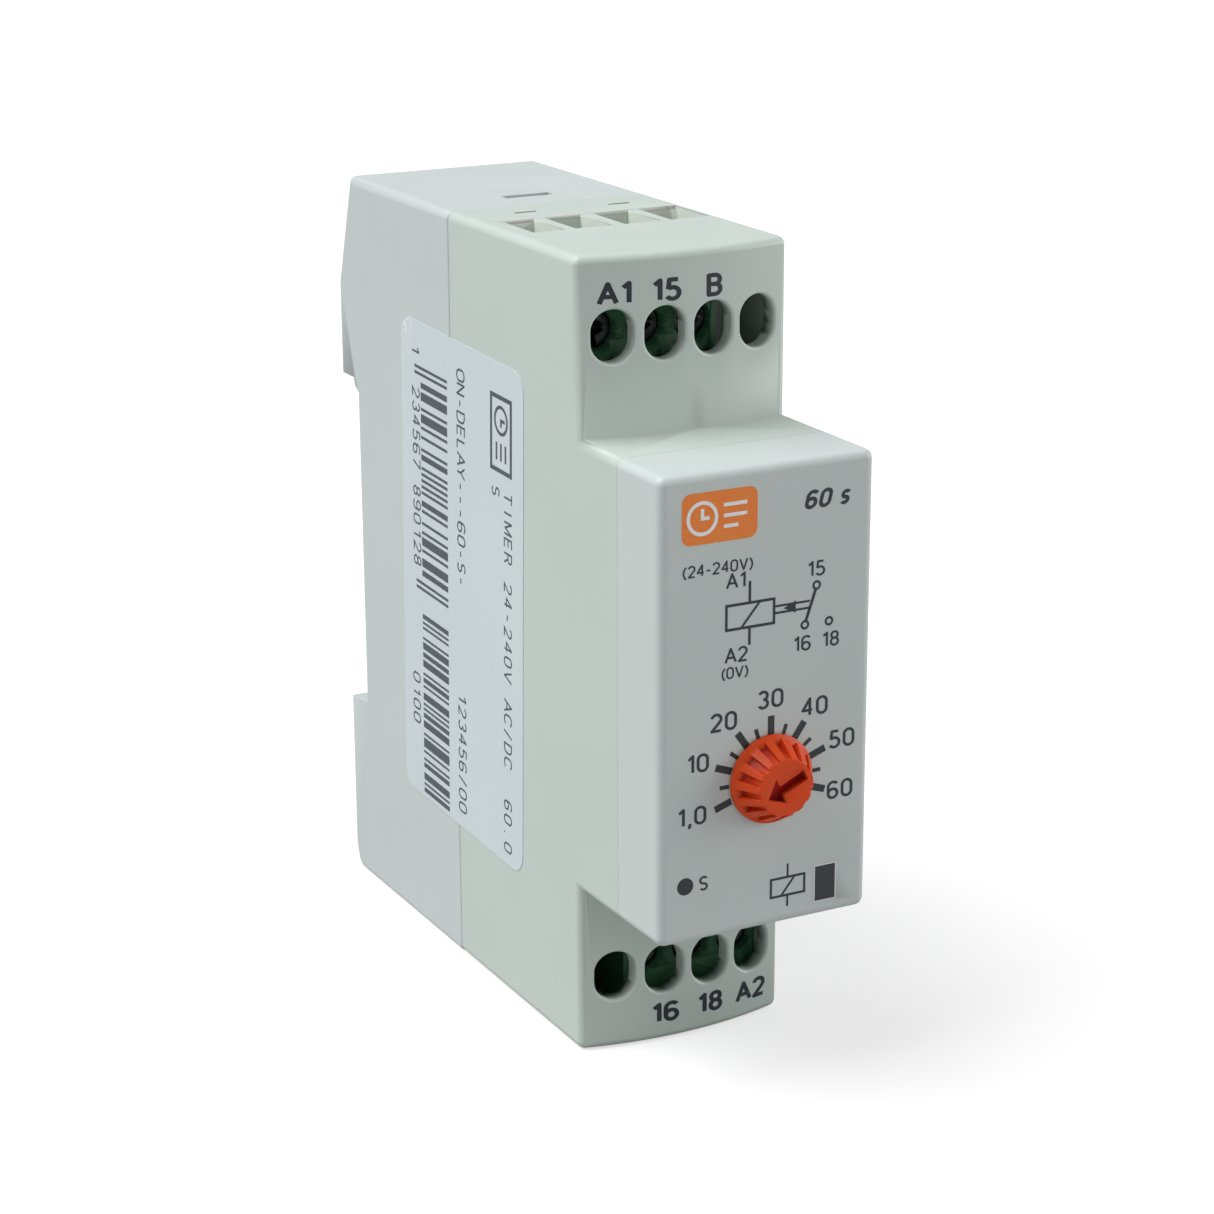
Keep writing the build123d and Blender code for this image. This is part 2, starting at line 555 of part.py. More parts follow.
with BuildPart() as relay_yoke:
    block(-4.5, 4.5, BASE_TOP + 0.02, CORE_FRONT - 0.02, COIL_Z - 4.5, YOKE_Z + 1.0)
    block(-4.5, 4.5, CORE_FRONT - 0.02, YOKE_BACK, YOKE_Z, YOKE_Z + 1.0)
finish(relay_yoke, "relay_yoke")

with BuildPart() as relay_core:
    rod(0, COIL_Z, CORE_BACK, CORE_FRONT, CORE_R)
finish(relay_core, "relay_core")

with BuildPart() as relay_bobbin:
    rod(0, COIL_Z, FLANGE_BACK, CORE_FRONT + 0.05, CORE_R + 0.45)
    block(-4.9, 4.9, CORE_FRONT + 0.05, CORE_FRONT + 0.05 + FLANGE, COIL_Z - 4.9, COIL_Z + 4.9)
    block(-4.9, 4.9, FLANGE_BACK - FLANGE, FLANGE_BACK, COIL_Z - 4.9, COIL_Z + 4.9)
    rod(0, COIL_Z, FLANGE_BACK + 1, CORE_FRONT - 1, CORE_R + 0.04, mode=Mode.SUBTRACT)
finish(relay_bobbin, "relay_bobbin")

with BuildPart() as relay_winding:
    rod(0, COIL_Z, FLANGE_BACK - FLANGE - 0.03, CORE_FRONT + FLANGE + 0.08, 4.5)
    rod(0, COIL_Z, FLANGE_BACK + 1, CORE_FRONT - 1, CORE_R + 0.5, mode=Mode.SUBTRACT)
finish(relay_winding, "relay_winding")

with BuildPart() as relay_armature:
    block(-4.2, 4.2, ARM_FRONT, ARM_BACK, COIL_Z - 4.4, HINGE_Z + 0.3)
    # rounded edge on which it rocks
    fillet(relay_armature.edges().filter_by(Axis.X).group_by(Axis.Z)[-1], 0.3)
finish(relay_armature, "relay_armature")

with BuildPart() as relay_blade:
    block(-1.8, 1.8, ARM_BACK, BLADE_BACK, -3.0, CONTACT_Z + 1.0)
    rod(0, CONTACT_Z, BLADE_BACK + 0.45, ARM_BACK - 0.45, 0.85)
finish(relay_blade, "relay_blade")

with BuildPart() as relay_fixed_contacts:
    block(-1.2, 1.2, -17.4, ARM_BACK - 0.6, CONTACT_Z - 0.9, CONTACT_Z + 1.8)
    block(-1.2, 1.2, BASE_TOP + 0.02, -17.4, CONTACT_Z + 1.1, CONTACT_Z + 1.8)
    block(-3.0, 3.0, -15.3, -14.4, CONTACT_Z - 0.9, CONTACT_Z + 1.0)
    block(2.3, 3.0, BASE_TOP + 0.02, -15.3, CONTACT_Z - 0.9, CONTACT_Z + 1.0)
finish(relay_fixed_contacts, "relay_fixed_contacts")

# --- supply and timing parts ----------------------------------------------------------------
rear_face = MAIN_BOARD + BOARD
LEAD_R = 0.28

with BuildPart() as supply_capacitor:
    rod(-4.6, 17.3, -13.0, rear_face + 0.02, 4.0)
    fillet(supply_capacitor.edges().filter_by(GeomType.CIRCLE), 0.5)
finish(supply_capacitor, "supply_capacitor")

with BuildPart() as film_capacitor:
    block(1.6, 7.6, rear_face + 0.02, -18.0, 13.4, 22.0)
    fillet(film_capacitor.edges().filter_by(Axis.Y), 0.6)
finish(film_capacitor, "film_capacitor")

with BuildPart() as varistor:
    with BuildSketch(Plane.YZ.offset(5.0)):
        with Locations((rear_face + 5.2, -18.5)):
            Circle(4.2)
    extrude(amount=2.6)
    block(5.6, 6.2, rear_face + 0.02, rear_face + 3, -21.0, -20.4)
    block(6.4, 7.0, rear_face + 0.02, rear_face + 3, -16.6, -16.0)
finish(varistor, "varistor")


def axial_part(x, z, radius, length):
    """A leaded part lying on the board's rear, along Z, with its bent leads."""
    y = rear_face + radius + 0.4
    with Locations((x, y, z)):
        Cylinder(radius, length)
        Cylinder(LEAD_R, length + 3.0)
    for end in (-1, 1):
        tip = z + end * (length / 2 + 1.4)
        rod(x, tip, y, rear_face + 0.02, LEAD_R + 0.03)


with BuildPart() as diodes:
    for x in (-7.6, -4.4, -1.2):
        axial_part(x, -20.5, 1.25, 4.8)
finish(diodes, "diodes")

with BuildPart() as resistors:
    for x in (-8.2, -5.6, -3.0, -0.4):
        axial_part(x, 25.3, 1.1, 4.9)
finish(resistors, "resistors")

with BuildPart() as timing_chip:
    block(-7.0, -3.1, FRONT_BOARD + BOARD + 0.25, FRONT_BOARD + BOARD + 1.75, -3.0, 2.0)
    chamfer(timing_chip.faces().sort_by(Axis.Y)[-1].edges(), 0.25)
finish(timing_chip, "timing_chip")

with BuildPart() as chip_leads:
    for k in range(4):
        z = -2.4 + 1.27 * k
        for side, edge in ((-1, -7.0), (1, -3.1)):
            face = FRONT_BOARD + BOARD
            block(edge, edge + side * 0.7, face + 0.7, face + 0.95, z - 0.2, z + 0.2)
            block(edge + side * 0.5, edge + side * 1.1, face, face + 0.25, z - 0.2, z + 0.2)
            block(edge + side * 0.5, edge + side * 0.7, face, face + 0.95, z - 0.2, z + 0.2)
finish(chip_leads, "chip_leads")
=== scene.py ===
from math import cos, radians, sin

import bmesh
import bpy
from mathutils import Matrix, Vector


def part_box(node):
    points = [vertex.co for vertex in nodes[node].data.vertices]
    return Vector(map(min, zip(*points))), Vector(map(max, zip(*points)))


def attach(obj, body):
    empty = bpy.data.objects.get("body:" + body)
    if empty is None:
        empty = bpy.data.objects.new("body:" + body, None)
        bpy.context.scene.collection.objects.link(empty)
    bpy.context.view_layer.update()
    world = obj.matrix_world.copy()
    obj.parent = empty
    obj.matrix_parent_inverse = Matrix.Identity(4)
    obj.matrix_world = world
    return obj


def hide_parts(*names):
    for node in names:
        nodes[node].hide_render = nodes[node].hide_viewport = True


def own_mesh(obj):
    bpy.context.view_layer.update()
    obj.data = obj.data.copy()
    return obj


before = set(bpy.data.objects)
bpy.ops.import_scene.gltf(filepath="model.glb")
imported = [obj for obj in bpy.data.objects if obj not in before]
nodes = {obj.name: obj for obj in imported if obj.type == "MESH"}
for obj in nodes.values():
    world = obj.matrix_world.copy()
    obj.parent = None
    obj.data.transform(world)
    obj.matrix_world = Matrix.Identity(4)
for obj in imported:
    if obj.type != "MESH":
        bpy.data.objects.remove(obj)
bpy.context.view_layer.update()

MM = 0.001


# --- places taken from the frame ------------------------------------------------------------

def middle(node):
    """The middle of a node's box."""
    low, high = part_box(node)
    return (low + high) / 2


cap_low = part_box("front_cap")[0]
dial_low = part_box("dial_knob")[0]
rear_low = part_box("rear_housing")[0]
sticker_low, sticker_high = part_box("side_sticker")
housing_low, housing_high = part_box("main_housing")
dial = middle("dial_knob")

SIDE_X = housing_low.x                  # left side of the casing
HALF_WIDTH = housing_high.x
TOP = housing_high.z
BOTTOM = housing_low.z
FACE_Y = cap_low.y                      # printed front face
CAP_SEAM = -59.4 * MM                   # where the cap meets the main shell
SHOULDER = -51.2 * MM                   # terminal faces at their side edges
BULGE = 1.67 * MM                       # crown of the terminal faces
SEAM = rear_low.y                       # where the two shells meet

# the wire entries, which open in the casing's top and bottom
ENTRY_SIDES = (-10.4 * MM, 10.4 * MM)
ENTRY_DEPTH = (-38.4 * MM, -31.4 * MM)
ENTRY_LIP = 0.12 * MM                   # edge that keeps the shell's own colour
ENTRY_REACH = 7 * MM                    # how far in the painted light goes
# a darker strip on the casing's top, along the back of the wire entries
STRIP_SIDES = (-9.4 * MM, 10.4 * MM)
STRIP_DEPTH = (-31.56 * MM, -31.34 * MM)
STRIP_LOW, STRIP_HIGH = TOP - 0.4 * MM, TOP - 0.3 * MM

INK = 0.012 * MM                        # thickness of a printed mark
LIFT = 0.004 * MM                       # gap that keeps a mark clear of its surface
DIAL_RADII = (2.85 * MM, 4.2 * MM)      # the dial's cone at its face and at its foot
WELD = 0.0005 * MM                      # corners nearer than this are one corner
RELIEF = 0.02 * MM                      # height of a surface's fine grain
LINE_HALF = 0.07 * MM                   # half the width of a parting line


# --- colour and node helpers ----------------------------------------------------------------

def srgb(red, green, blue):
    """An 8-bit colour as the linear RGBA that shaders take."""
    def linear(value):
        value /= 255
        return value / 12.92 if value <= 0.04045 else ((value + 0.055) / 1.055) ** 2.4
    return (linear(red), linear(green), linear(blue), 1.0)


def new_group(name, inputs, outputs):
    """An empty shader node group. inputs are (name, socket type, default)."""
    tree = bpy.data.node_groups.new(name, "ShaderNodeTree")
    for label, kind, default in inputs:
        socket = tree.interface.new_socket(label, in_out="INPUT", socket_type=kind)
        socket.default_value = default
    for label, kind in outputs:
        tree.interface.new_socket(label, in_out="OUTPUT", socket_type=kind)
    return tree, tree.nodes.new("NodeGroupInput"), tree.nodes.new("NodeGroupOutput")


def feed(tree, socket, value):
    """Gives an input a plain value, or a link where the value is another node's output."""
    if hasattr(value, "links"):
        tree.links.new(value, socket)
    else:
        socket.default_value = value


def connect(tree, node, **values):
    """Feeds a node's inputs by name, with an underscore for each space."""
    for name, value in values.items():
        feed(tree, node.inputs[name.replace("_", " ")], value)


def add(tree, kind, **settings):
    """A node in a tree. A setting is one of its properties, or else feeds the input of that name."""
    node = tree.nodes.new(kind)
    for name, value in settings.items():
        if hasattr(node, name):
            setattr(node, name, value)
        else:
            connect(tree, node, **{name: value})
    return node


def noise(tree, vector, scale, detail=4.0, rough=0.55):
    """A noise pattern. scale is its spots in a metre."""
    texture = add(tree, "ShaderNodeTexNoise", Vector=vector, Scale=scale, Detail=detail, Roughness=rough)
    return texture.outputs["Fac"]


def spread(tree, value, low, high, to_low=0.0, to_high=1.0):
    """Maps a value from one range to another, clamped."""
    node = add(tree, "ShaderNodeMapRange", Value=value, From_Min=low, From_Max=high, To_Min=to_low,
               To_Max=to_high)
    return node.outputs["Result"]


def maths(tree, operation, *values):
    """One step of arithmetic on values or outputs."""
    node = add(tree, "ShaderNodeMath", operation=operation)
    for index, value in enumerate(values):
        feed(tree, node.inputs[index], value)
    return node.outputs[0]


def mix(tree, factor, first, second):
    """The first colour, turning into the second as the factor goes from zero to one."""
    node = add(tree, "ShaderNodeMix", data_type="RGBA")
    for name, value in (("Factor", factor), ("A", first), ("B", second)):
        feed(tree, next(s for s in node.inputs if s.name == name and s.enabled), value)
    return next(s for s in node.outputs if s.enabled)


def split(tree, place):
    """The three coordinates of the object-space vector."""
    parts = add(tree, "ShaderNodeSeparateXYZ", Vector=place)
    return parts.outputs["X"], parts.outputs["Y"], parts.outputs["Z"]


# --- shared effects -------------------------------------------------------------------------

COLOR, FLOAT, VECTOR = "NodeSocketColor", "NodeSocketFloat", "NodeSocketVector"


def per_metre(tree, size):
    """The scale of a pattern whose spots have a size in millimetres."""
    return maths(tree, "DIVIDE", 1000.0, size)


def build_moulded_group():
    """Spark-eroded mould texture: a fine even grain, faint flow clouds and handling smudges."""
    tree, inlet, outlet = new_group(
        "moulded texture",
        [("Vector", VECTOR, (0, 0, 0)), ("Base", COLOR, (0.5, 0.5, 0.5, 1)),
         ("Cloud", COLOR, (0.45, 0.45, 0.45, 1)), ("Grain Size", FLOAT, 0.1),
         ("Gloss Low", FLOAT, 0.35), ("Gloss High", FLOAT, 0.5)],
        [("Color", COLOR), ("Roughness", FLOAT), ("Height", FLOAT)],
    )
    vector = inlet.outputs["Vector"]
    base, cloud = inlet.outputs["Base"], inlet.outputs["Cloud"]
    scale = per_metre(tree, inlet.outputs["Grain Size"])
    grain = noise(tree, vector, scale, detail=2.0, rough=0.5)
    pits = add(tree, "ShaderNodeTexVoronoi", Vector=vector, Scale=scale).outputs["Distance"]
    height = maths(tree, "ADD", grain, maths(tree, "MULTIPLY", pits, 0.4))
    clouds = spread(tree, noise(tree, vector, 55.0, detail=3.0), 0.35, 0.7)
    smudge = spread(tree, noise(tree, vector, 160.0, detail=5.0, rough=0.65), 0.45, 0.75)
    speck = spread(tree, noise(tree, vector, 1900.0, detail=1.0), 0.76, 0.82)
    tint = mix(tree, maths(tree, "MULTIPLY", clouds, 0.6), base, cloud)
    tint = mix(tree, maths(tree, "MULTIPLY", speck, 0.25), tint, cloud)
    gloss = spread(tree, smudge, 0.0, 1.0, inlet.outputs["Gloss Low"], inlet.outputs["Gloss High"])
    connect(tree, outlet, Color=tint, Roughness=gloss, Height=height)
    return tree


def build_metal_group():
    """Bright plating: fine turning or rolling lines and dull patches."""
    tree, inlet, outlet = new_group(
        "plated metal",
        [("Vector", VECTOR, (0, 0, 0)), ("Base", COLOR, (0.6, 0.6, 0.6, 1)),
         ("Tarnish", COLOR, (0.3, 0.28, 0.25, 1)), ("Line Scale", FLOAT, 4000.0)],
        [("Color", COLOR), ("Roughness", FLOAT), ("Height", FLOAT)],
    )
    vector = inlet.outputs["Vector"]
    stretched = add(tree, "ShaderNodeMapping", Scale=(1.0, 0.08, 1.0), Vector=vector).outputs["Vector"]
    lines = noise(tree, stretched, inlet.outputs["Line Scale"], detail=3.0, rough=0.5)
    patches = spread(tree, noise(tree, vector, 900.0), 0.42, 0.68)
    dulled = maths(tree, "MULTIPLY", patches, 0.6)
    connect(tree, outlet, Color=mix(tree, dulled, inlet.outputs["Base"], inlet.outputs["Tarnish"]),
            Roughness=spread(tree, patches, 0.0, 1.0, 0.22, 0.48), Height=lines)
    return tree


def build_print_group():
    """Screen-printed ink: slightly uneven cover with tiny pinholes."""
    tree, inlet, outlet = new_group(
        "printed ink",
        [("Vector", VECTOR, (0, 0, 0)), ("Ink", COLOR, (0.02, 0.02, 0.02, 1)),
         ("Thin Ink", COLOR, (0.06, 0.06, 0.07, 1)), ("Dot Size", FLOAT, 0.12)],
        [("Color", COLOR), ("Roughness", FLOAT)],
    )
    scale = per_metre(tree, inlet.outputs["Dot Size"])
    dots = noise(tree, inlet.outputs["Vector"], scale, detail=3.0, rough=0.5)
    cover = spread(tree, dots, 0.42, 0.66)
    connect(tree, outlet, Color=mix(tree, cover, inlet.outputs["Ink"], inlet.outputs["Thin Ink"]),
            Roughness=spread(tree, cover, 0.0, 1.0, 0.42, 0.6))
    return tree


def build_line_group():
    """A thin line across the depth of a shell, where two mouldings meet."""
    tree, inlet, outlet = new_group(
        "parting line",
        [("Vector", VECTOR, (0, 0, 0)), ("Base", COLOR, (0.5, 0.5, 0.5, 1)),
         ("Line", COLOR, (0.4, 0.35, 0.3, 1)), ("Place", FLOAT, 0.0),
         ("Half Width", FLOAT, LINE_HALF), ("Cover", FLOAT, 0.7)],
        [("Color", COLOR)],
    )
    vector, half = inlet.outputs["Vector"], inlet.outputs["Half Width"]
    depth = split(tree, vector)[1]
    away = maths(tree, "ABSOLUTE", maths(tree, "SUBTRACT", depth, inlet.outputs["Place"]))
    on_line = spread(tree, away, half, maths(tree, "MULTIPLY", half, 1.8), 1.0, 0.0)
    broken = spread(tree, noise(tree, vector, 420.0, detail=3.0), 0.3, 0.6, 0.55, 1.0)
    strength = maths(tree, "MULTIPLY", maths(tree, "MULTIPLY", on_line, broken), inlet.outputs["Cover"])
    connect(tree, outlet, Color=mix(tree, strength, inlet.outputs["Base"], inlet.outputs["Line"]))
    return tree


MOULDED = build_moulded_group()
PARTING = build_line_group()
METAL = build_metal_group()
PRINT = build_print_group()


# --- materials ------------------------------------------------------------------------------

def blank(name, **sockets):
    """A material with a Principled shader, and the object-space vector that its patterns read."""
    material = bpy.data.materials.new(name)
    material.use_nodes = True
    tree = material.node_tree
    tree.nodes.clear()
    shader = add(tree, "ShaderNodeBsdfPrincipled", **sockets)
    add(tree, "ShaderNodeOutputMaterial", Surface=shader.outputs["BSDF"])
    place = tree.nodes.new("ShaderNodeTexCoord").outputs["Object"]
    return material, tree, shader, place


def use_group(tree, group, place, **values):
    """A shared effect with its own values."""
    node = add(tree, "ShaderNodeGroup", node_tree=group)
    connect(tree, node, Vector=place, **values)
    return node


def bump(tree, shader, height, strength, depth=RELIEF):
    """Raises a surface's normals by a height pattern."""
    node = add(tree, "ShaderNodeBump", Strength=strength, Distance=depth, Height=height)
    connect(tree, shader, Normal=node.outputs["Normal"])


def moulded(name, base, cloud, grain=0.16, gloss=(0.38, 0.5), relief=0.12, lines=(), shade=None, **sockets):
    """Injection-moulded plastic. lines are the depth and strength of each parting line, and shade
    changes the colour by a step of its own, such as painted light, painted shade and wear."""
    material, tree, shader, place = blank(name, **sockets)
    node = use_group(tree, MOULDED, place, Base=base, Cloud=cloud, Grain_Size=grain, Gloss_Low=gloss[0],
                     Gloss_High=gloss[1])
    colour = node.outputs["Color"]
    for depth, cover in lines:
        line = use_group(tree, PARTING, place, Base=colour, Line=srgb(118, 96, 72), Place=depth,
                         Half_Width=LINE_HALF, Cover=cover)
        colour = line.outputs["Color"]
    if shade:
        colour = shade(tree, place, colour)
    connect(tree, shader, Base_Color=colour, Roughness=node.outputs["Roughness"])
    bump(tree, shader, node.outputs["Height"], relief)
    return material


def plated(name, base, tarnish, lines=4000.0, relief=0.2):
    """Plated or bright metal."""
    material, tree, shader, place = blank(name, Metallic=1.0)
    node = use_group(tree, METAL, place, Base=base, Tarnish=tarnish, Line_Scale=lines)
    connect(tree, shader, Base_Color=node.outputs["Color"], Roughness=node.outputs["Roughness"])
    bump(tree, shader, node.outputs["Height"], relief)
    return material


def printed(name, ink, thin_ink, dot=0.12):
    """Printed ink."""
    material, tree, shader, place = blank(name)
    node = use_group(tree, PRINT, place, Ink=ink, Thin_Ink=thin_ink, Dot_Size=dot)
    connect(tree, shader, Base_Color=node.outputs["Color"], Roughness=node.outputs["Roughness"])
    return material


def within(tree, value, low, high, soft=0.02 * MM):
    """One between two limits and zero outside them."""
    rise = spread(tree, value, low, low + soft)
    fall = spread(tree, value, high - soft, high, 1.0, 0.0)
    return maths(tree, "MULTIPLY", rise, fall)


def entries_painted_light_and_strip(tree, place, colour):
    """Wire entries painted paler than the shell: painted light that stands in for the light filling them and
    shining through their thin ribs. Also a darker strip along the back of the entries.
    """
    x, y, z = split(tree, place)
    inside = maths(tree, "MULTIPLY", within(tree, x, *ENTRY_SIDES), within(tree, y, *ENTRY_DEPTH))
    ends = maths(tree, "ADD", within(tree, z, TOP - ENTRY_REACH, TOP - ENTRY_LIP),
                 within(tree, z, BOTTOM + ENTRY_LIP, BOTTOM + ENTRY_REACH))
    # painted light: the pale colour inside the wire entries stands in for the light that fills them
    colour = mix(tree, maths(tree, "MULTIPLY", inside, ends), colour, srgb(226, 232, 224))
    strip = maths(tree, "MULTIPLY", within(tree, y, *STRIP_DEPTH), within(tree, x, *STRIP_SIDES))
    upper = spread(tree, z, STRIP_LOW, STRIP_HIGH, 0.0, 0.5)
    return mix(tree, maths(tree, "MULTIPLY", strip, upper), colour, srgb(150, 132, 112))


def painted_grip_shade(tree, place, colour):
    """Painted shade: a deeper colour down in the dial's flutes and arrow, where the light doesn't reach."""
    x, y, z = split(tree, place)
    across = maths(tree, "SUBTRACT", x, dial.x)
    up = maths(tree, "SUBTRACT", z, dial.z)
    squares = maths(tree, "ADD", maths(tree, "MULTIPLY", across, across), maths(tree, "MULTIPLY", up, up))
    cone = spread(tree, y, dial_low.y, FACE_Y, *DIAL_RADII)
    under_cone = maths(tree, "SUBTRACT", cone, maths(tree, "SQRT", squares))
    under_face = maths(tree, "SUBTRACT", y, dial_low.y)
    deep = spread(tree, maths(tree, "MINIMUM", under_cone, under_face), 0.1 * MM, 0.85 * MM)
    # painted shade: darker red by depth below the dial's cone and face
    return mix(tree, deep, colour, srgb(168, 22, 12))


def rubbed_corner(tree, place, colour):
    """The label's top back corner, scuffed to its white core."""
    y, z = split(tree, place)[1:]
    down = spread(tree, z, sticker_high.z - 6.5 * MM, sticker_high.z)
    back = spread(tree, y, sticker_high.y - 6.0 * MM, sticker_high.y - 0.5 * MM)
    corner = maths(tree, "MULTIPLY", down, back)
    flecks = spread(tree, noise(tree, place, 1500.0, 5.0, 0.7), 0.52, 0.6)
    worn = maths(tree, "MULTIPLY", spread(tree, corner, 0.15, 0.6), flecks)
    return mix(tree, worn, colour, srgb(238, 241, 243))


rear_plastic = moulded("rear plastic", srgb(195, 204, 203), srgb(189, 198, 196), gloss=(0.38, 0.5),
                       lines=((SEAM, 1.0),))
main_plastic = moulded("main plastic", srgb(192, 203, 198), srgb(187, 197, 190), gloss=(0.38, 0.5),
                       lines=((SEAM, 1.0), (CAP_SEAM, 0.22)), shade=entries_painted_light_and_strip)
cap_plastic = moulded("cap plastic", srgb(196, 205, 203), srgb(192, 200, 198), gloss=(0.36, 0.46),
                      lines=((CAP_SEAM, 0.22),))
sticker_paper = moulded("sticker paper", srgb(203, 213, 217), srgb(197, 207, 212), grain=0.09,
                        gloss=(0.4, 0.5), relief=0.06, shade=rubbed_corner, Coat_Weight=0.15,
                        Coat_Roughness=0.3)
dial_orange = moulded("dial orange", srgb(222, 76, 26), srgb(216, 69, 22), grain=0.1, gloss=(0.42, 0.54),
                      relief=0.1, shade=painted_grip_shade, Specular_IOR_Level=0.25)
terminal_green = moulded("terminal green", srgb(62, 112, 78), srgb(54, 102, 70), grain=0.12,
                         gloss=(0.4, 0.55))
clip_plastic = moulded("clip plastic", srgb(58, 62, 64), srgb(50, 54, 56), grain=0.14, gloss=(0.4, 0.55))
black_plastic = moulded("black plastic", srgb(30, 31, 32), srgb(24, 25, 26), grain=0.12, gloss=(0.4, 0.6))
relay_blue = moulded("relay blue", srgb(52, 96, 160), srgb(46, 88, 150), grain=0.2, gloss=(0.2, 0.35))
pot_blue = moulded("pot blue", srgb(60, 84, 130), srgb(52, 76, 120), grain=0.12)
bobbin_cream = moulded("bobbin cream", srgb(224, 218, 200), srgb(214, 208, 190), grain=0.12)
lamp_red = moulded("lamp red", srgb(196, 60, 44), srgb(180, 48, 36), grain=0.3, gloss=(0.1, 0.2),
                   Transmission_Weight=0.35)
film_yellow = moulded("film capacitor yellow", srgb(214, 178, 60), srgb(204, 166, 52), grain=0.2)
varistor_blue = moulded("varistor blue", srgb(48, 92, 150), srgb(40, 80, 138), grain=0.25, gloss=(0.15, 0.3))
resistor_blue = moulded("resistor blue", srgb(150, 186, 204), srgb(138, 174, 194), grain=0.12)
sleeve_black = moulded("capacitor sleeve", srgb(36, 38, 56), srgb(30, 32, 48), grain=0.2, gloss=(0.2, 0.3))
smoked_plastic = moulded("smoked window", srgb(34, 40, 46), srgb(28, 34, 40), grain=0.12, gloss=(0.12, 0.2),
                         relief=0.03, Coat_Weight=0.5, Coat_Roughness=0.08)
plated_steel = plated("plated steel", srgb(176, 180, 184), srgb(120, 120, 116))
# painted shade: the screws' steel is darkened to stand in for the shade down in their wells
shade_darkened_screw_steel = plated("screw steel with painted shade", srgb(64, 66, 68), srgb(34, 35, 36))
tinned_metal = plated("tinned metal", srgb(206, 206, 204), srgb(160, 158, 150), lines=2500.0)
spring_steel = plated("spring steel", srgb(150, 152, 156), srgb(96, 96, 98), lines=5000.0)
contact_brass = plated("contact brass", srgb(214, 184, 112), srgb(150, 118, 70))
copper_wire = plated("copper wire", srgb(196, 112, 66), srgb(140, 70, 40), lines=5200.0, relief=0.5)
dark_ink = printed("dark ink", srgb(38, 46, 52), srgb(52, 60, 66))
bold_ink = printed("terminal ink", srgb(28, 36, 46), srgb(40, 48, 58), dot=0.2)
orange_ink = printed("badge ink", srgb(238, 120, 38), srgb(232, 144, 64), dot=0.16)
# white ink serves the badge's signs and the painted highlight round the lamp window
white_ink_and_highlight = printed("white ink and painted highlight", srgb(236, 240, 238), srgb(226, 230, 228), dot=0.16)
sticker_ink = printed("sticker ink", srgb(62, 74, 80), srgb(84, 96, 102), dot=0.1)


def board_material():
    """Green solder mask with faint copper tracks under it."""
    material, tree, shader, place = blank("circuit board", Coat_Weight=0.4, Coat_Roughness=0.2)
    turned = add(tree, "ShaderNodeMapping", Rotation=(radians(90), 0, 0), Vector=place).outputs["Vector"]
    tracks = add(tree, "ShaderNodeTexBrick", Vector=turned, Scale=260.0, Mortar_Size=0.03,
                 Color1=srgb(24, 78, 44), Color2=srgb(26, 84, 48), Mortar=srgb(52, 112, 66))
    connect(tree, shader, Base_Color=tracks.outputs["Color"],
            Roughness=spread(tree, noise(tree, place, 700.0), 0.3, 0.7, 0.28, 0.42))
    bump(tree, shader, tracks.outputs["Fac"], 0.3, depth=0.03 * MM)
    return material


circuit_board = board_material()


# --- mesh helpers ---------------------------------------------------------------------------

def piece_from(bm, name, material, body="casing", smooth=None):
    """Turns a bmesh into a finished piece that rides on a body."""
    mesh = bpy.data.meshes.new(name)
    bm.to_mesh(mesh)
    bm.free()
    mesh.materials.append(material)
    piece = bpy.data.objects.new(name, mesh)
    bpy.context.scene.collection.objects.link(piece)
    if smooth is not None:
        mesh.shade_smooth()
        mesh.set_sharp_from_angle(angle=radians(smooth))
    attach(piece, body)
    return piece


def refine(node, name, material, body="casing", smooth=28):
    """A welded, smoothly shaded copy of a CAD node's mesh that stands for it."""
    bm = bmesh.new()
    bm.from_mesh(nodes[node].data)
    bmesh.ops.remove_doubles(bm, verts=bm.verts, dist=WELD)
    bmesh.ops.dissolve_degenerate(bm, edges=bm.edges, dist=WELD)
    piece = piece_from(bm, name, material, body, smooth)
    even = piece.modifiers.new("even normals", "WEIGHTED_NORMAL")
    even.keep_sharp = True
    bpy.context.view_layer.update()
    evened = bpy.data.meshes.new_from_object(piece.evaluated_get(bpy.context.evaluated_depsgraph_get()))
    piece.modifiers.clear()
    piece.data = evened
    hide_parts(node)
    return piece


def true_crown(piece):
    """Gives the crowned terminal faces the normals of their true arc, with no trace of their triangles."""
    mesh = piece.data
    radius = (HALF_WIDTH ** 2 + BULGE ** 2) / (2 * BULGE)
    centre_y = SHOULDER - BULGE + radius
    normals = [Vector(corner.vector) for corner in mesh.corner_normals]
    for corner, loop in enumerate(mesh.loops):
        spot = mesh.vertices[loop.vertex_index].co
        outward = Vector((spot.x, spot.y - centre_y, 0))
        on_arc = abs(outward.length - radius) < 0.01 * MM and spot.y < SHOULDER
        if on_arc and normals[corner].angle(outward) < radians(15):
            normals[corner] = outward.normalized()
    mesh.normals_split_custom_set(normals)


def dress(material, *names):
    """Gives CAD nodes that already have the right shape their material."""
    for name in names:
        nodes[name].data.materials.clear()
        nodes[name].data.materials.append(material)


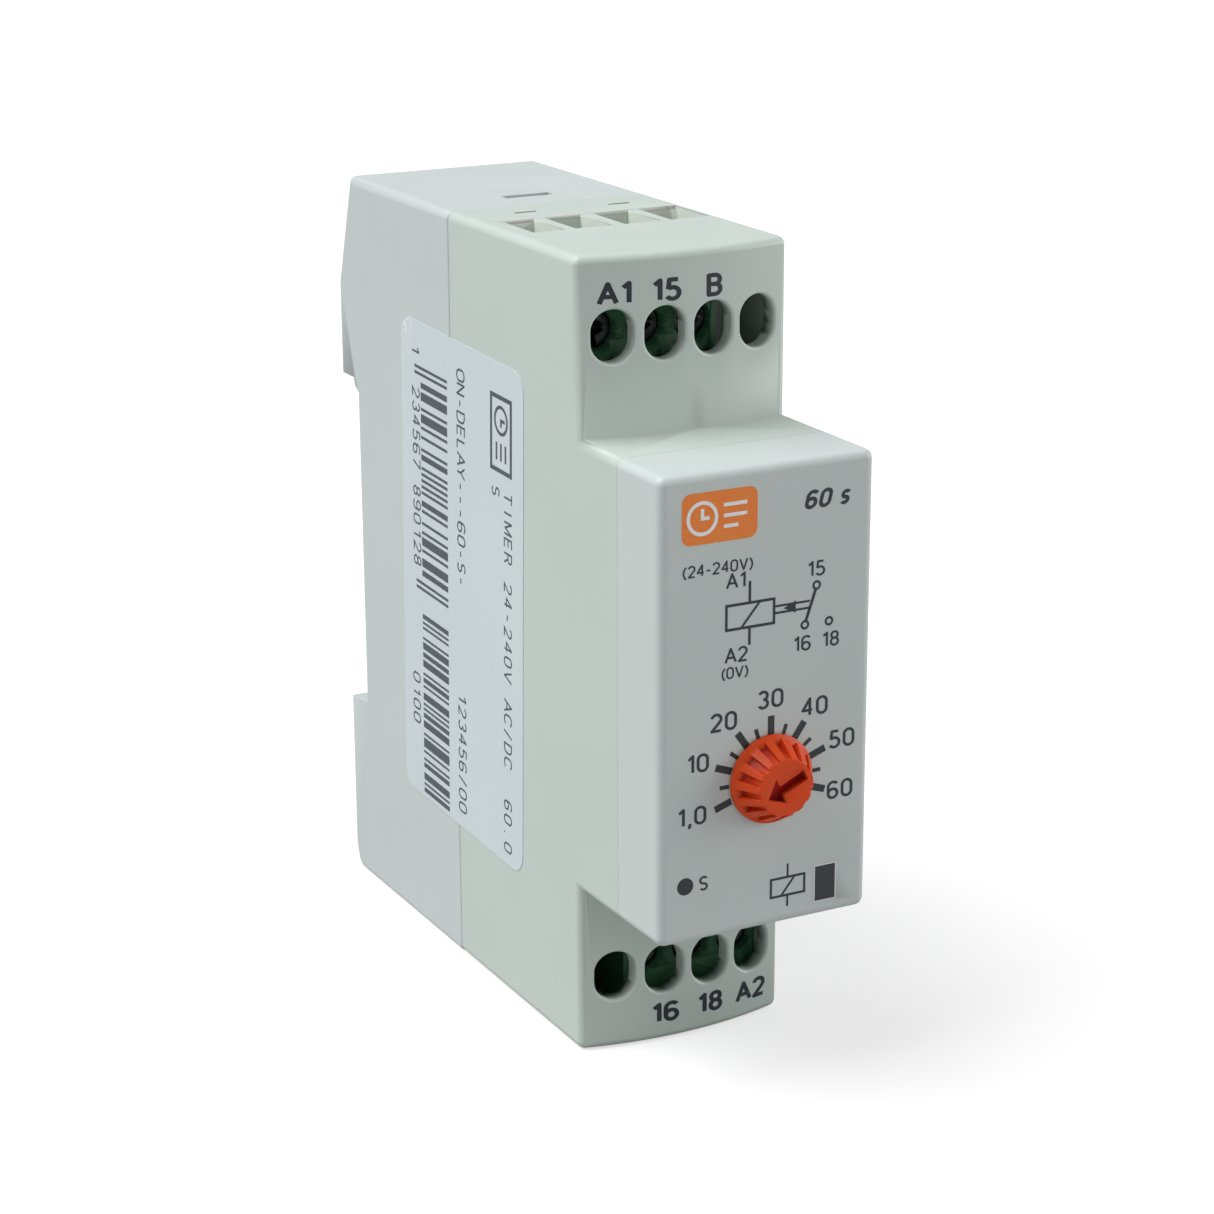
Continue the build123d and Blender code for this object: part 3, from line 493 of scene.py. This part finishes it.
# A plain grotesque alphabet, with capitals one unit high. Each glyph has its width, then its straight
# strokes as (x0, y0, x1, y1), then its round ones as (centre x, centre y, radius, first angle, last angle).
GLYPHS = {
    "0": (0.56, ((0, 0.28, 0, 0.72), (0.56, 0.28, 0.56, 0.72)),
          ((0.28, 0.72, 0.28, 0, 180), (0.28, 0.28, 0.28, 180, 360))),
    "1": (0.3, ((0.3, 0, 0.3, 1), (0.3, 1, 0.04, 0.78)), ()),
    "2": (0.56, ((0.51, 0.56, 0.01, 0), (0.01, 0, 0.56, 0)), ((0.28, 0.72, 0.28, -35, 165),)),
    "3": (0.53, (), ((0.26, 0.755, 0.245, -90, 155), (0.26, 0.265, 0.265, -155, 90))),
    "4": (0.58, ((0.43, 0, 0.43, 1), (0.43, 1, 0, 0.3), (0, 0.3, 0.58, 0.3)), ()),
    "5": (0.56, ((0.5, 1, 0.1, 1), (0.1, 1, 0.05, 0.51)), ((0.26, 0.3, 0.3, -150, 135),)),
    "6": (0.56, ((0, 0.28, 0, 0.7),), ((0.28, 0.28, 0.28, 0, 360), (0.3, 0.7, 0.3, 35, 180))),
    "7": (0.54, ((0, 1, 0.54, 1), (0.54, 1, 0.18, 0)), ()),
    "8": (0.53, (), ((0.265, 0.76, 0.24, 0, 360), (0.265, 0.265, 0.265, 0, 360))),
    "9": (0.56, ((0.56, 0.3, 0.56, 0.72),), ((0.28, 0.72, 0.28, 0, 360), (0.26, 0.3, 0.3, -145, 0))),
    "A": (0.66, ((0, 0, 0.37, 1), (0.37, 1, 0.74, 0), (0.14, 0.34, 0.6, 0.34)), ()),
    "B": (0.57, ((0, 0, 0, 1), (0, 1, 0.32, 1), (0, 0.53, 0.32, 0.53), (0, 0, 0.32, 0)),
          ((0.32, 0.765, 0.235, -90, 90), (0.32, 0.265, 0.265, -90, 90))),
    "C": (0.62, ((0, 0.32, 0, 0.68),), ((0.32, 0.68, 0.32, 25, 180), (0.32, 0.32, 0.32, 180, 335))),
    "D": (0.6, ((0, 0, 0, 1), (0, 1, 0.25, 1), (0, 0, 0.25, 0), (0.6, 0.35, 0.6, 0.65)),
          ((0.25, 0.65, 0.35, 0, 90), (0.25, 0.35, 0.35, -90, 0))),
    "E": (0.54, ((0, 0, 0, 1), (0, 1, 0.52, 1), (0, 0.52, 0.47, 0.52), (0, 0, 0.54, 0)), ()),
    "I": (0.0, ((0, 0, 0, 1),), ()),
    "L": (0.48, ((0, 0, 0, 1), (0, 0, 0.48, 0)), ()),
    "M": (0.72, ((0, 0, 0, 1), (0, 1, 0.36, 0.1), (0.36, 0.1, 0.72, 1), (0.72, 1, 0.72, 0)), ()),
    "N": (0.6, ((0, 0, 0, 1), (0, 1, 0.6, 0), (0.6, 0, 0.6, 1)), ()),
    "O": (0.66, ((0, 0.33, 0, 0.67), (0.66, 0.33, 0.66, 0.67)),
          ((0.33, 0.67, 0.33, 0, 180), (0.33, 0.33, 0.33, 180, 360))),
    "R": (0.6, ((0, 0, 0, 1), (0, 1, 0.32, 1), (0, 0.5, 0.32, 0.5), (0.32, 0.5, 0.6, 0)),
          ((0.32, 0.75, 0.25, -90, 90),)),
    "S": (0.54, (), ((0.27, 0.745, 0.255, 35, 270), (0.27, 0.255, 0.255, -145, 90))),
    "T": (0.62, ((0.31, 0, 0.31, 1), (0, 1, 0.62, 1)), ()),
    "V": (0.68, ((0, 1, 0.34, 0), (0.34, 0, 0.68, 1)), ()),
    "Y": (0.64, ((0, 1, 0.32, 0.45), (0.64, 1, 0.32, 0.45), (0.32, 0.45, 0.32, 0)), ()),
    "s": (0.4, (), ((0.2, 0.55, 0.19, 30, 270), (0.2, 0.18, 0.18, -150, 90))),
    "-": (0.34, ((0, 0.4, 0.34, 0.4),), ()),
    "/": (0.36, ((0, -0.05, 0.36, 1.05),), ()),
    "(": (0.2, (), ((0.8, 0.42, 0.8, 135, 225),)),
    ")": (0.2, (), ((-0.6, 0.42, 0.8, -45, 45),)),
    ",": (0.1, ((0.1, 0.06, 0.02, -0.24),), ()),
    ".": (0.0, ((0, -0.04, 0, 0.08),), ()),
    " ": (0.12, (), ()),
}


class Print:
    """Flat marks gathered on one sheet, in millimetres: x to the right and y up, as they are read."""

    def __init__(self):
        self.bm = bmesh.new()
        self.strokes = 0

    def join(self, verts):
        """Gives the newest flat faces a thickness of about one unit, which place() turns into the ink's.
        Crossing strokes differ a little in height, so that none lies exactly in another."""
        faces = list({f for v in verts for f in v.link_faces})
        grown = bmesh.ops.extrude_face_region(self.bm, geom=faces)
        top = [v for v in grown["geom"] if isinstance(v, bmesh.types.BMVert)]
        self.strokes += 1
        bmesh.ops.translate(self.bm, vec=(0, 0, 0.8 + 0.05 * (self.strokes % 5)), verts=top)

    def bar(self, x0, y0, x1, y1, width):
        """A straight stroke between two points."""
        start, end = Vector((x0, y0, 0)), Vector((x1, y1, 0))
        run = end - start
        made = bmesh.ops.create_grid(self.bm, x_segments=1, y_segments=1, size=0.5)["verts"]
        bmesh.ops.scale(self.bm, vec=(run.length, width, 1), verts=made)
        turn = Matrix.Rotation(Vector((1, 0)).angle_signed(run.to_2d()) * -1, 3, "Z")
        bmesh.ops.rotate(self.bm, cent=(0, 0, 0), matrix=turn, verts=made)
        bmesh.ops.translate(self.bm, vec=(start + end) / 2, verts=made)
        self.join(made)

    def disc(self, x, y, radius, sides=32):
        """A filled circle."""
        made = bmesh.ops.create_circle(self.bm, cap_ends=True, segments=sides, radius=radius)["verts"]
        bmesh.ops.translate(self.bm, vec=(x, y, 0), verts=made)
        self.join(made)

    def ring(self, x, y, radius, width, sides=32):
        """A circle line of the given middle radius."""
        outer = bmesh.ops.create_circle(self.bm, segments=sides, radius=radius + width / 2)["verts"]
        inner = bmesh.ops.create_circle(self.bm, segments=sides, radius=radius - width / 2)["verts"]
        edges = list({e for v in outer + inner for e in v.link_edges})
        bmesh.ops.bridge_loops(self.bm, edges=edges)
        bmesh.ops.translate(self.bm, vec=(x, y, 0), verts=outer + inner)
        self.join(outer + inner)

    def frame(self, x0, y0, x1, y1, width):
        """A rectangle line."""
        half = width / 2
        self.bar(x0 - half, y0, x1 + half, y0, width)
        self.bar(x0 - half, y1, x1 + half, y1, width)
        self.bar(x0, y0 + half, x0, y1 - half, width)
        self.bar(x1, y0 + half, x1, y1 - half, width)

    def panel(self, x0, y0, x1, y1, corner):
        """A filled rectangle with rounded corners."""
        made = bmesh.ops.create_grid(self.bm, x_segments=1, y_segments=1, size=0.5)["verts"]
        bmesh.ops.scale(self.bm, vec=(x1 - x0, y1 - y0, 1), verts=made)
        bmesh.ops.translate(self.bm, vec=((x0 + x1) / 2, (y0 + y1) / 2, 0), verts=made)
        rounded = bmesh.ops.bevel(self.bm, geom=made, offset=corner, offset_type="OFFSET", segments=6,
                                  profile=0.5, material=-1, affect="VERTICES")
        self.join(list({v for f in rounded["faces"] for v in f.verts} | set(rounded["verts"])))

    def triangle(self, *corners):
        """A filled triangle between three points."""
        verts = [self.bm.verts.new((x, y, 0)) for x, y in corners]
        self.bm.faces.new(verts)
        self.join(verts)

    def arc(self, x, y, radius, first, last, width):
        """Part of a circle line, between two angles in degrees."""
        ends = [self.bm.verts.new((x + radius + side * width / 2, y, 0)) for side in (-1, 1)]
        rib = self.bm.edges.new(ends)
        sweep = last - first
        bmesh.ops.rotate(self.bm, cent=(x, y, 0), matrix=Matrix.Rotation(radians(first), 3, "Z"), verts=ends)
        before = set(self.bm.verts) - set(ends)
        bmesh.ops.spin(self.bm, geom=ends + [rib], cent=(x, y, 0), axis=(0, 0, 1), angle=radians(sweep),
                       steps=max(4, round(sweep / 15)), use_merge=sweep >= 360)
        self.join([v for v in self.bm.verts if v not in before])

    def glyph(self, letter, x, y, size, width):
        """One letter with its lower left corner at a point. Strokes that meet get a round joint."""
        across, straight, curved = GLYPHS[letter]
        meeting = {}
        for x0, y0, x1, y1 in straight:
            self.bar(x + x0 * size, y + y0 * size, x + x1 * size, y + y1 * size, width)
            for end in ((x0, y0), (x1, y1)):
                meeting[end] = meeting.get(end, 0) + 1
        for cx, cy, radius, first, last in curved:
            self.arc(x + cx * size, y + cy * size, radius * size, first, last, width)
        for (jx, jy), strokes in meeting.items():
            if strokes > 1:
                self.disc(x + jx * size, y + jy * size, width / 2, sides=12)

    def words(self, text, x, y, height, weight=0.14, slant=0.0, squeeze=1.12, gap=0.14):
        """A string centred on a point. height is its capitals', and weight and gap are shares of it:
        the stroke's width and the space after a letter. slant leans it and squeeze widens it."""
        width = height * weight
        size = height - width
        step = gap * size + width
        long = sum(GLYPHS[letter][0] * size + step for letter in text) - step
        before = set(self.bm.verts)
        at = -long / 2
        for letter in text:
            self.glyph(letter, at, -size / 2, size, width)
            at += GLYPHS[letter][0] * size + step
        fresh = [v for v in self.bm.verts if v not in before]
        lean = Matrix(((squeeze, slant, 0, x), (0, 1, 0, y), (0, 0, 1, 0), (0, 0, 0, 1)))
        bmesh.ops.transform(self.bm, matrix=lean, verts=fresh)

    def typed(self, text, x0, x1, y, height, **style):
        """A string of evenly spaced characters between two ends."""
        step = (x1 - x0) / len(text)
        for position, letter in enumerate(text):
            if letter != " ":
                self.words(letter, x0 + step * (position + 0.5), y, height, **style)

    def place(self, name, matrix, material, slot_name, crown=None):
        """Scales the sheet to metres, gives it the ink's thickness and lays it on its surface."""
        bmesh.ops.recalc_face_normals(self.bm, faces=self.bm.faces)
        bmesh.ops.transform(self.bm, matrix=Matrix.Diagonal((MM, MM, INK, 1)), verts=self.bm.verts)
        bmesh.ops.translate(self.bm, vec=(0, 0, LIFT), verts=self.bm.verts)
        bmesh.ops.transform(self.bm, matrix=matrix, verts=self.bm.verts)
        if crown:
            for vert in self.bm.verts:
                vert.co.y -= crown(vert.co.x)
        return piece_from(self.bm, name, material)


# reading x runs to +X and reading up runs to +Z on the front
FRONT_SHEET = Matrix(((1, 0, 0, 0), (0, 0, -1, FACE_Y), (0, 1, 0, 0), (0, 0, 0, 1)))


# --- casing ---------------------------------------------------------------------------------

refine("rear_housing", "rear_shell", rear_plastic)
true_crown(refine("main_housing", "main_shell", main_plastic))
refine("front_cap", "nose_cap", cap_plastic)
dress(smoked_plastic, "led_window")


# --- front print ----------------------------------------------------------------------------

SCALE_X = dial.x / MM + 0.07            # the scale is printed a little off the dial's axis
SCALE_Z = dial.z / MM - 0.17
# each number, its mark's angle clockwise from the top, and the number's middle from the scale's
NUMBERED = (("1,0", -108.6, -8.34, -2.18), ("10", -70, -7.74, 2.88), ("20", -35, -5.04, 6.48),
            ("30", 0, -0.09, 7.89), ("40", 35, 4.67, 6.42), ("50", 70, 7.69, 2.76),
            ("60", 108.6, 7.58, -2.27))
TICK_INNER = 4.42                       # radii of the marks' inner ends, then of their outer ones
TICK_LONG = 6.23
TICK_SHORT = 5.42
WINDOW_HIGHLIGHT = (5.46, -19.79, 7.79, -16.16)   # left, bottom, right and top of the painted highlight on the window's edge
BADGE_LINE = 0.34                       # stroke of the clock signs and of the lines beside them
LINE = 0.27                             # stroke of the wiring diagrams


def tick(sheet, angle, outer, width):
    """A mark of the scale, at an angle in degrees clockwise from the top."""
    across, up = sin(radians(angle)), cos(radians(angle))
    sheet.bar(SCALE_X + TICK_INNER * across, SCALE_Z + TICK_INNER * up, SCALE_X + outer * across,
              SCALE_Z + outer * up, width)


def dial_scale(sheet):
    """Seven numbered marks, with a short mark halfway between each two."""
    for text, angle, x, z in NUMBERED:
        tick(sheet, angle, TICK_LONG, 0.7)
        sheet.words(text, SCALE_X + x, SCALE_Z + z, 1.84, weight=0.148)
    angles = [mark[1] for mark in NUMBERED]
    for first, second in zip(angles, angles[1:]):
        tick(sheet, (first + second) / 2, TICK_SHORT, 0.4)


def wiring_diagram(sheet):
    """Coil and changeover contact, as on any timing relay."""
    sheet.words("(24-240V)", -5.25, 14.7, 1.16, gap=0.1)
    sheet.words("A1", -3.4, 13.25, 1.5)
    sheet.words("A2", -3.3, 6.2, 1.5)
    sheet.words("(0V)", -3.4, 4.55, 1.16, gap=0.08)
    sheet.frame(-4.35, 8.65, 0.65, 10.95, LINE)
    sheet.bar(-2.78, 8.7, -0.87, 10.9, LINE * 0.85)
    sheet.bar(-1.92, 11.0, -1.92, 13.0, LINE)
    sheet.bar(-1.92, 6.95, -1.92, 8.6, LINE)
    for z in (10.2, 9.55):
        sheet.bar(0.7, z, 4.45, z, LINE * 0.8)
    sheet.triangle((1.64, 9.88), (2.95, 9.3), (2.95, 10.46))
    for x, z in ((5.16, 11.6), (3.96, 7.96), (6.55, 7.96)):
        sheet.ring(x, z, 0.35, LINE * 0.85)
    sheet.bar(5.05, 11.2, 4.06, 8.35, LINE * 1.15)
    for text, x, z in (("15", 5.09, 13.2), ("16", 3.68, 6.2), ("18", 6.75, 6.2)):
        sheet.words(text, x, z, 1.5)


def output_symbol(sheet):
    """Relay symbol beside the lamp window, and the seconds mark."""
    sheet.frame(0.7, -18.45, 4.35, -16.65, LINE * 0.9)
    sheet.bar(1.85, -18.4, 3.25, -16.7, LINE * 0.8)
    sheet.bar(2.5, -16.6, 2.5, -15.3, LINE * 0.8)
    sheet.bar(2.5, -18.5, 2.5, -19.6, LINE * 0.8)
    sheet.disc(-8.5, -15.5, 0.85)
    sheet.words("s", -6.55, -15.3, 1.9, weight=0.11)


def clock(sheet, x, z, radius, width):
    """A plain clock pictogram."""
    sheet.ring(x, z, radius, width)
    sheet.bar(x, z - width / 2, x, z + radius * 0.62, width)
    sheet.bar(x + width / 2, z, x + radius * 0.5, z, width)


def front_print():
    """Dark print, an orange badge, white signs on the badge, and a painted highlight round the lamp window.
    """
    marks = Print()
    dial_scale(marks)
    wiring_diagram(marks)
    output_symbol(marks)
    marks.words("60 s", 6.25, 19.8, 1.8, weight=0.19, slant=0.25, gap=0.12)
    marks.place("front_markings", FRONT_SHEET, dark_ink, "cap_shell")
    badge = Print()
    badge.panel(-9.0, 17.1, -1.2, 21.9, 0.9)
    badge.place("badge_panel", FRONT_SHEET, orange_ink, "cap_shell")
    white_sign_and_highlight = Print()
    clock(white_sign_and_highlight, -6.9, 19.5, 1.45, BADGE_LINE)
    for row, length in enumerate((2.4, 2.4, 1.5)):
        white_sign_and_highlight.bar(-4.7, 20.5 - row, -4.7 + length, 20.5 - row, BADGE_LINE)
    # painted highlight: a thin white frame stands in for the lit edge of the window's recess
    white_sign_and_highlight.frame(*WINDOW_HIGHLIGHT, 0.09)
    white_sign_and_highlight.place("badge_sign_and_window_highlight", FRONT_SHEET @ Matrix.Translation((0, 0, INK)), white_ink_and_highlight, "cap_shell")


front_print()


# --- terminal marks -------------------------------------------------------------------------

def crown(x):
    """How far the terminal faces crown forward at a distance from the middle."""
    return BULGE * (1 - (x / HALF_WIDTH) ** 2)


def terminal_marks():
    """Each terminal's mark, over its screw at the top and under it at the bottom."""
    sheet = Print()
    for row, away in ((("A1", "15", "B"), 4.05), (("16", "18", "A2"), -4.65)):
        for mark in row:
            screw = middle(f"terminal_screw_{mark.lower()}") / MM
            sheet.words(mark, screw.x, screw.z + away, 2.2, weight=0.185, squeeze=1.22, gap=0.1)
    face = Matrix(((1, 0, 0, 0), (0, 0, -1, SHOULDER), (0, 1, 0, 0), (0, 0, 0, 1)))
    sheet.place("terminal_marks", face, bold_ink, "main_shell", crown=crown)


terminal_marks()


# --- side sticker ---------------------------------------------------------------------------

STICKER_WIDE = 28.6                     # millimetres, as are the next three
STICKER_HIGH = 52.0
STICKER_CORNER = 2.2
STICKER_THICK = 0.055
STICKER_LEAN = radians(-1.8)            # it was stuck on a little crooked
SMALL_TYPE = {"weight": 0.11, "squeeze": 1.0}
sticker_middle = (sticker_low + sticker_high) / 2
# reading x runs down the casing and reading up runs towards the front
STICKER_SHEET = (
    Matrix.Translation((SIDE_X, sticker_middle.y, sticker_middle.z))
    @ Matrix.Rotation(-STICKER_LEAN, 4, "X")
    @ Matrix(((0, 0, -1, 0), (0, -1, 0, 0), (-1, 0, 0, 0), (0, 0, 0, 1)))
)
# widths of the bars and gaps of each code, bar first, as multiples of the thinnest. They encode nothing.
GUARDS = (1, 1, 1)
SHORT_CODE = (2, 1, 3, 2, 1, 1, 3, 1, 1, 2, 1, 3, 1, 1, 2, 2, 1, 1)
LONG_CODE = (2, 1, 1, 1, 1, 3, 1, 1, 3, 1, 2, 1, 3, 2, 1, 1, 2, 1, 1, 2, 3, 1, 1, 1, 1, 1, 2, 1, 3, 2, 1, 1,
             4, 1, 1, 2, 1, 1, 2, 2, 3, 1, 1, 1, 2)


def bar_code(sheet, start, length, low, high, widths, tail=None):
    """Bars across the reading direction. The first two and the last two reach down to a tail."""
    step = length / sum(widths)
    guards = (0, 2, len(widths) - 3, len(widths) - 1) if tail is not None else ()
    at = start
    for index, modules in enumerate(widths):
        if index % 2 == 0:
            wide = modules * step * 0.92
            sheet.bar(at + wide / 2, tail if index in guards else low, at + wide / 2, high, wide)
        at += modules * step


def sticker_print():
    """Two bar codes, lines of plain words and counting digits, and a framed clock sign."""
    sheet = Print()
    front_code = GUARDS + (2,) + SHORT_CODE + (1,) + GUARDS + (1,) + SHORT_CODE[::-1] + (2,) + GUARDS
    bar_code(sheet, -21.4, 24.2, -9.5, -3.1, front_code, tail=-11.0)
    bar_code(sheet, 5.3, 20.2, -9.5, -3.1, LONG_CODE)
    sheet.words("1", -23.0, -10.7, 1.87, **SMALL_TYPE)
    for text, start, end, up, height in (("234567", -19.2, -10.1, -10.7, 1.87),
                                         ("890128", -8.6, 0.5, -10.7, 1.87),
                                         ("0100", 12.2, 18.3, -11.2, 1.87),
                                         ("ON-DELAY---60-S-", -23.4, -0.4, 0.15, 1.93),
                                         ("123456/00", 10.8, 24.5, 0.2, 1.93),
                                         ("TIMER 24-240V AC/DC  60.0", -13.6, 24.9, 10.95, 1.81)):
        sheet.typed(text, start, end, up, height, **SMALL_TYPE)
    sheet.words("S", -12.9, 8.2, 1.76, **SMALL_TYPE)
    sheet.frame(-22.6, 7.2, -15.2, 11.6, 0.45)
    clock(sheet, -20.3, 9.4, 1.35, BADGE_LINE)
    for row in range(3):
        sheet.bar(-18.0, 8.4 + row, -16.2, 8.4 + row, BADGE_LINE)
    raised = STICKER_SHEET @ Matrix.Translation((0, 0, STICKER_THICK * MM))
    sheet.place("sticker_print", raised, sticker_ink, "sticker_paper")


def sticker():
    """Paper label with rounded corners."""
    bm = bmesh.new()
    made = bmesh.ops.create_grid(bm, x_segments=1, y_segments=1, size=0.5)["verts"]
    bmesh.ops.scale(bm, vec=(STICKER_HIGH, STICKER_WIDE, 1), verts=made)
    bmesh.ops.bevel(bm, geom=made, offset=STICKER_CORNER, offset_type="OFFSET", segments=8, profile=0.5,
                    material=-1, affect="VERTICES")
    bmesh.ops.recalc_face_normals(bm, faces=bm.faces)
    grown = bmesh.ops.extrude_face_region(bm, geom=bm.faces[:])
    top = [v for v in grown["geom"] if isinstance(v, bmesh.types.BMVert)]
    bmesh.ops.translate(bm, vec=(0, 0, STICKER_THICK), verts=top)
    bmesh.ops.recalc_face_normals(bm, faces=bm.faces)
    bmesh.ops.transform(bm, matrix=STICKER_SHEET @ Matrix.Scale(MM, 4), verts=bm.verts)
    paper = piece_from(bm, "paper_sticker", sticker_paper, smooth=30)
    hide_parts("side_sticker")


sticker()
sticker_print()


# --- dial, terminals and clip ---------------------------------------------------------------

refine("dial_knob", "orange_dial", dial_orange, body="dial", smooth=16)
for place in ("top", "bottom"):
    refine(f"terminal_block_{place}", f"green_block_{place}", terminal_green)
for mark in ("a1", "15", "b", "16", "18", "a2"):
    # the screws carry painted shade through their darkened steel
    refine(f"terminal_screw_{mark}", f"screw_{mark}", shade_darkened_screw_steel, body=f"screw_{mark}")
    dress(plated_steel, f"wire_clamp_{mark}")
refine("rail_clip", "sliding_clip", clip_plastic, body="clip")
coil = refine("clip_spring", "clip_coil", spring_steel, smooth=40)
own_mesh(coil)


# --- hidden parts ---------------------------------------------------------------------------

dress(circuit_board, "main_board", "front_board")
dress(black_plastic, "link_headers", "relay_base", "diodes", "timing_chip")
dress(tinned_metal, "link_pins", "contact_bars_top", "contact_bars_bottom", "relay_pins", "chip_leads")
dress(pot_blue, "pot_body", "pot_rotor")
dress(lamp_red, "status_lamp")
dress(relay_blue, "relay_case")
dress(bobbin_cream, "relay_bobbin")
dress(copper_wire, "relay_winding")
dress(plated_steel, "relay_core", "relay_yoke", "relay_armature")
dress(contact_brass, "relay_blade", "relay_fixed_contacts")
dress(sleeve_black, "supply_capacitor")
dress(film_yellow, "film_capacitor")
dress(varistor_blue, "varistor")
dress(resistor_blue, "resistors")


# --- floor, light and camera ----------------------------------------------------------------

FLOOR_REACH = 3.0                       # half the floor's side, in metres
FLOOR_GAP = 0.03 * MM                   # keeps the floor and the casing's flat bottom apart
FLOOR_GLOW = 0.62                       # light added where the camera sees the floor
AMBIENT = 0.33                          # share of the surroundings' light that reaches the object
CAMERA_PLACE = (-0.1332, -0.2903, 0.0909)
CAMERA_LOOK = (0.4429, 0.8460, -0.2968)     # the way the camera looks
CAMERA_ROLL = -0.25                     # its turn about that, in degrees
FOCAL_LENGTH = 88.6                     # millimetres, on a sensor 36 millimetres wide

def floor():
    """A pale sheet that shows only from above, so that the object's underside can be looked at."""
    bm = bmesh.new()
    bmesh.ops.create_grid(bm, x_segments=2, y_segments=2, size=FLOOR_REACH)
    bmesh.ops.translate(bm, vec=(0, 0, rear_low.z - FLOOR_GAP), verts=bm.verts)
    mesh = bpy.data.meshes.new("floor")
    bm.to_mesh(mesh)
    bm.free()
    material, tree, shader, place = blank("pale floor", Roughness=0.9, Specular_IOR_Level=0.0,
                                          Emission_Color=(1.0, 1.0, 1.0, 1.0))
    tone = mix(tree, noise(tree, place, 2.0), srgb(176, 176, 176), srgb(172, 172, 172))
    seen = tree.nodes.new("ShaderNodeLightPath").outputs["Is Camera Ray"]
    connect(tree, shader, Base_Color=tone, Emission_Strength=maths(tree, "MULTIPLY", seen, FLOOR_GLOW))
    below = tree.nodes.new("ShaderNodeNewGeometry").outputs["Backfacing"]
    see_through = add(tree, "ShaderNodeMixShader", Fac=below)
    tree.links.new(shader.outputs["BSDF"], see_through.inputs[1])
    tree.links.new(tree.nodes.new("ShaderNodeBsdfTransparent").outputs["BSDF"], see_through.inputs[2])
    out = next(node for node in tree.nodes if node.type == "OUTPUT_MATERIAL")
    connect(tree, out, Surface=see_through.outputs["Shader"])
    mesh.materials.append(material)
    sheet = bpy.data.objects.new("floor", mesh)
    bpy.context.scene.collection.objects.link(sheet)


def sun(name, towards, degrees, power):
    """A distant soft light, so many degrees across. towards points from the object to it."""
    light = bpy.data.lights.new(name, "SUN")
    light.angle = radians(degrees)
    light.energy = power
    holder = bpy.data.objects.new(name, light)
    bpy.context.scene.collection.objects.link(holder)
    holder.rotation_euler = Vector(towards).to_track_quat("Z", "Y").to_euler()


def studio():
    """White surroundings that light the object less than they show, as in a light tent."""
    world = bpy.data.worlds.new("studio")
    world.use_nodes = True
    tree = world.node_tree
    seen = tree.nodes.new("ShaderNodeLightPath").outputs["Is Camera Ray"]
    connect(tree, tree.nodes["Background"], Color=(1.0, 1.0, 1.0, 1.0),
            Strength=spread(tree, seen, 0.0, 1.0, AMBIENT, 1.0))
    bpy.context.scene.world = world
    bpy.context.scene.view_settings.view_transform = "Standard"


def camera():
    """A long lens in front of the object, a little to its left and above it."""
    lens = bpy.data.cameras.new("camera")
    lens.sensor_width = 36.0
    lens.lens = FOCAL_LENGTH
    lens.clip_start = 0.01
    holder = bpy.data.objects.new("camera", lens)
    bpy.context.scene.collection.objects.link(holder)
    holder.location = CAMERA_PLACE
    look = Vector(CAMERA_LOOK).to_track_quat("-Z", "Y")
    holder.rotation_euler = (look.to_matrix() @ Matrix.Rotation(radians(CAMERA_ROLL), 3, "Z")).to_euler()
    bpy.context.scene.camera = holder


floor()
camera()
studio()
sun("left tent", (-0.5, 0.2, 0.84), degrees=50, power=3.4)
sun("right fill", (0.9, -0.31, 0.1), degrees=50, power=2.2)
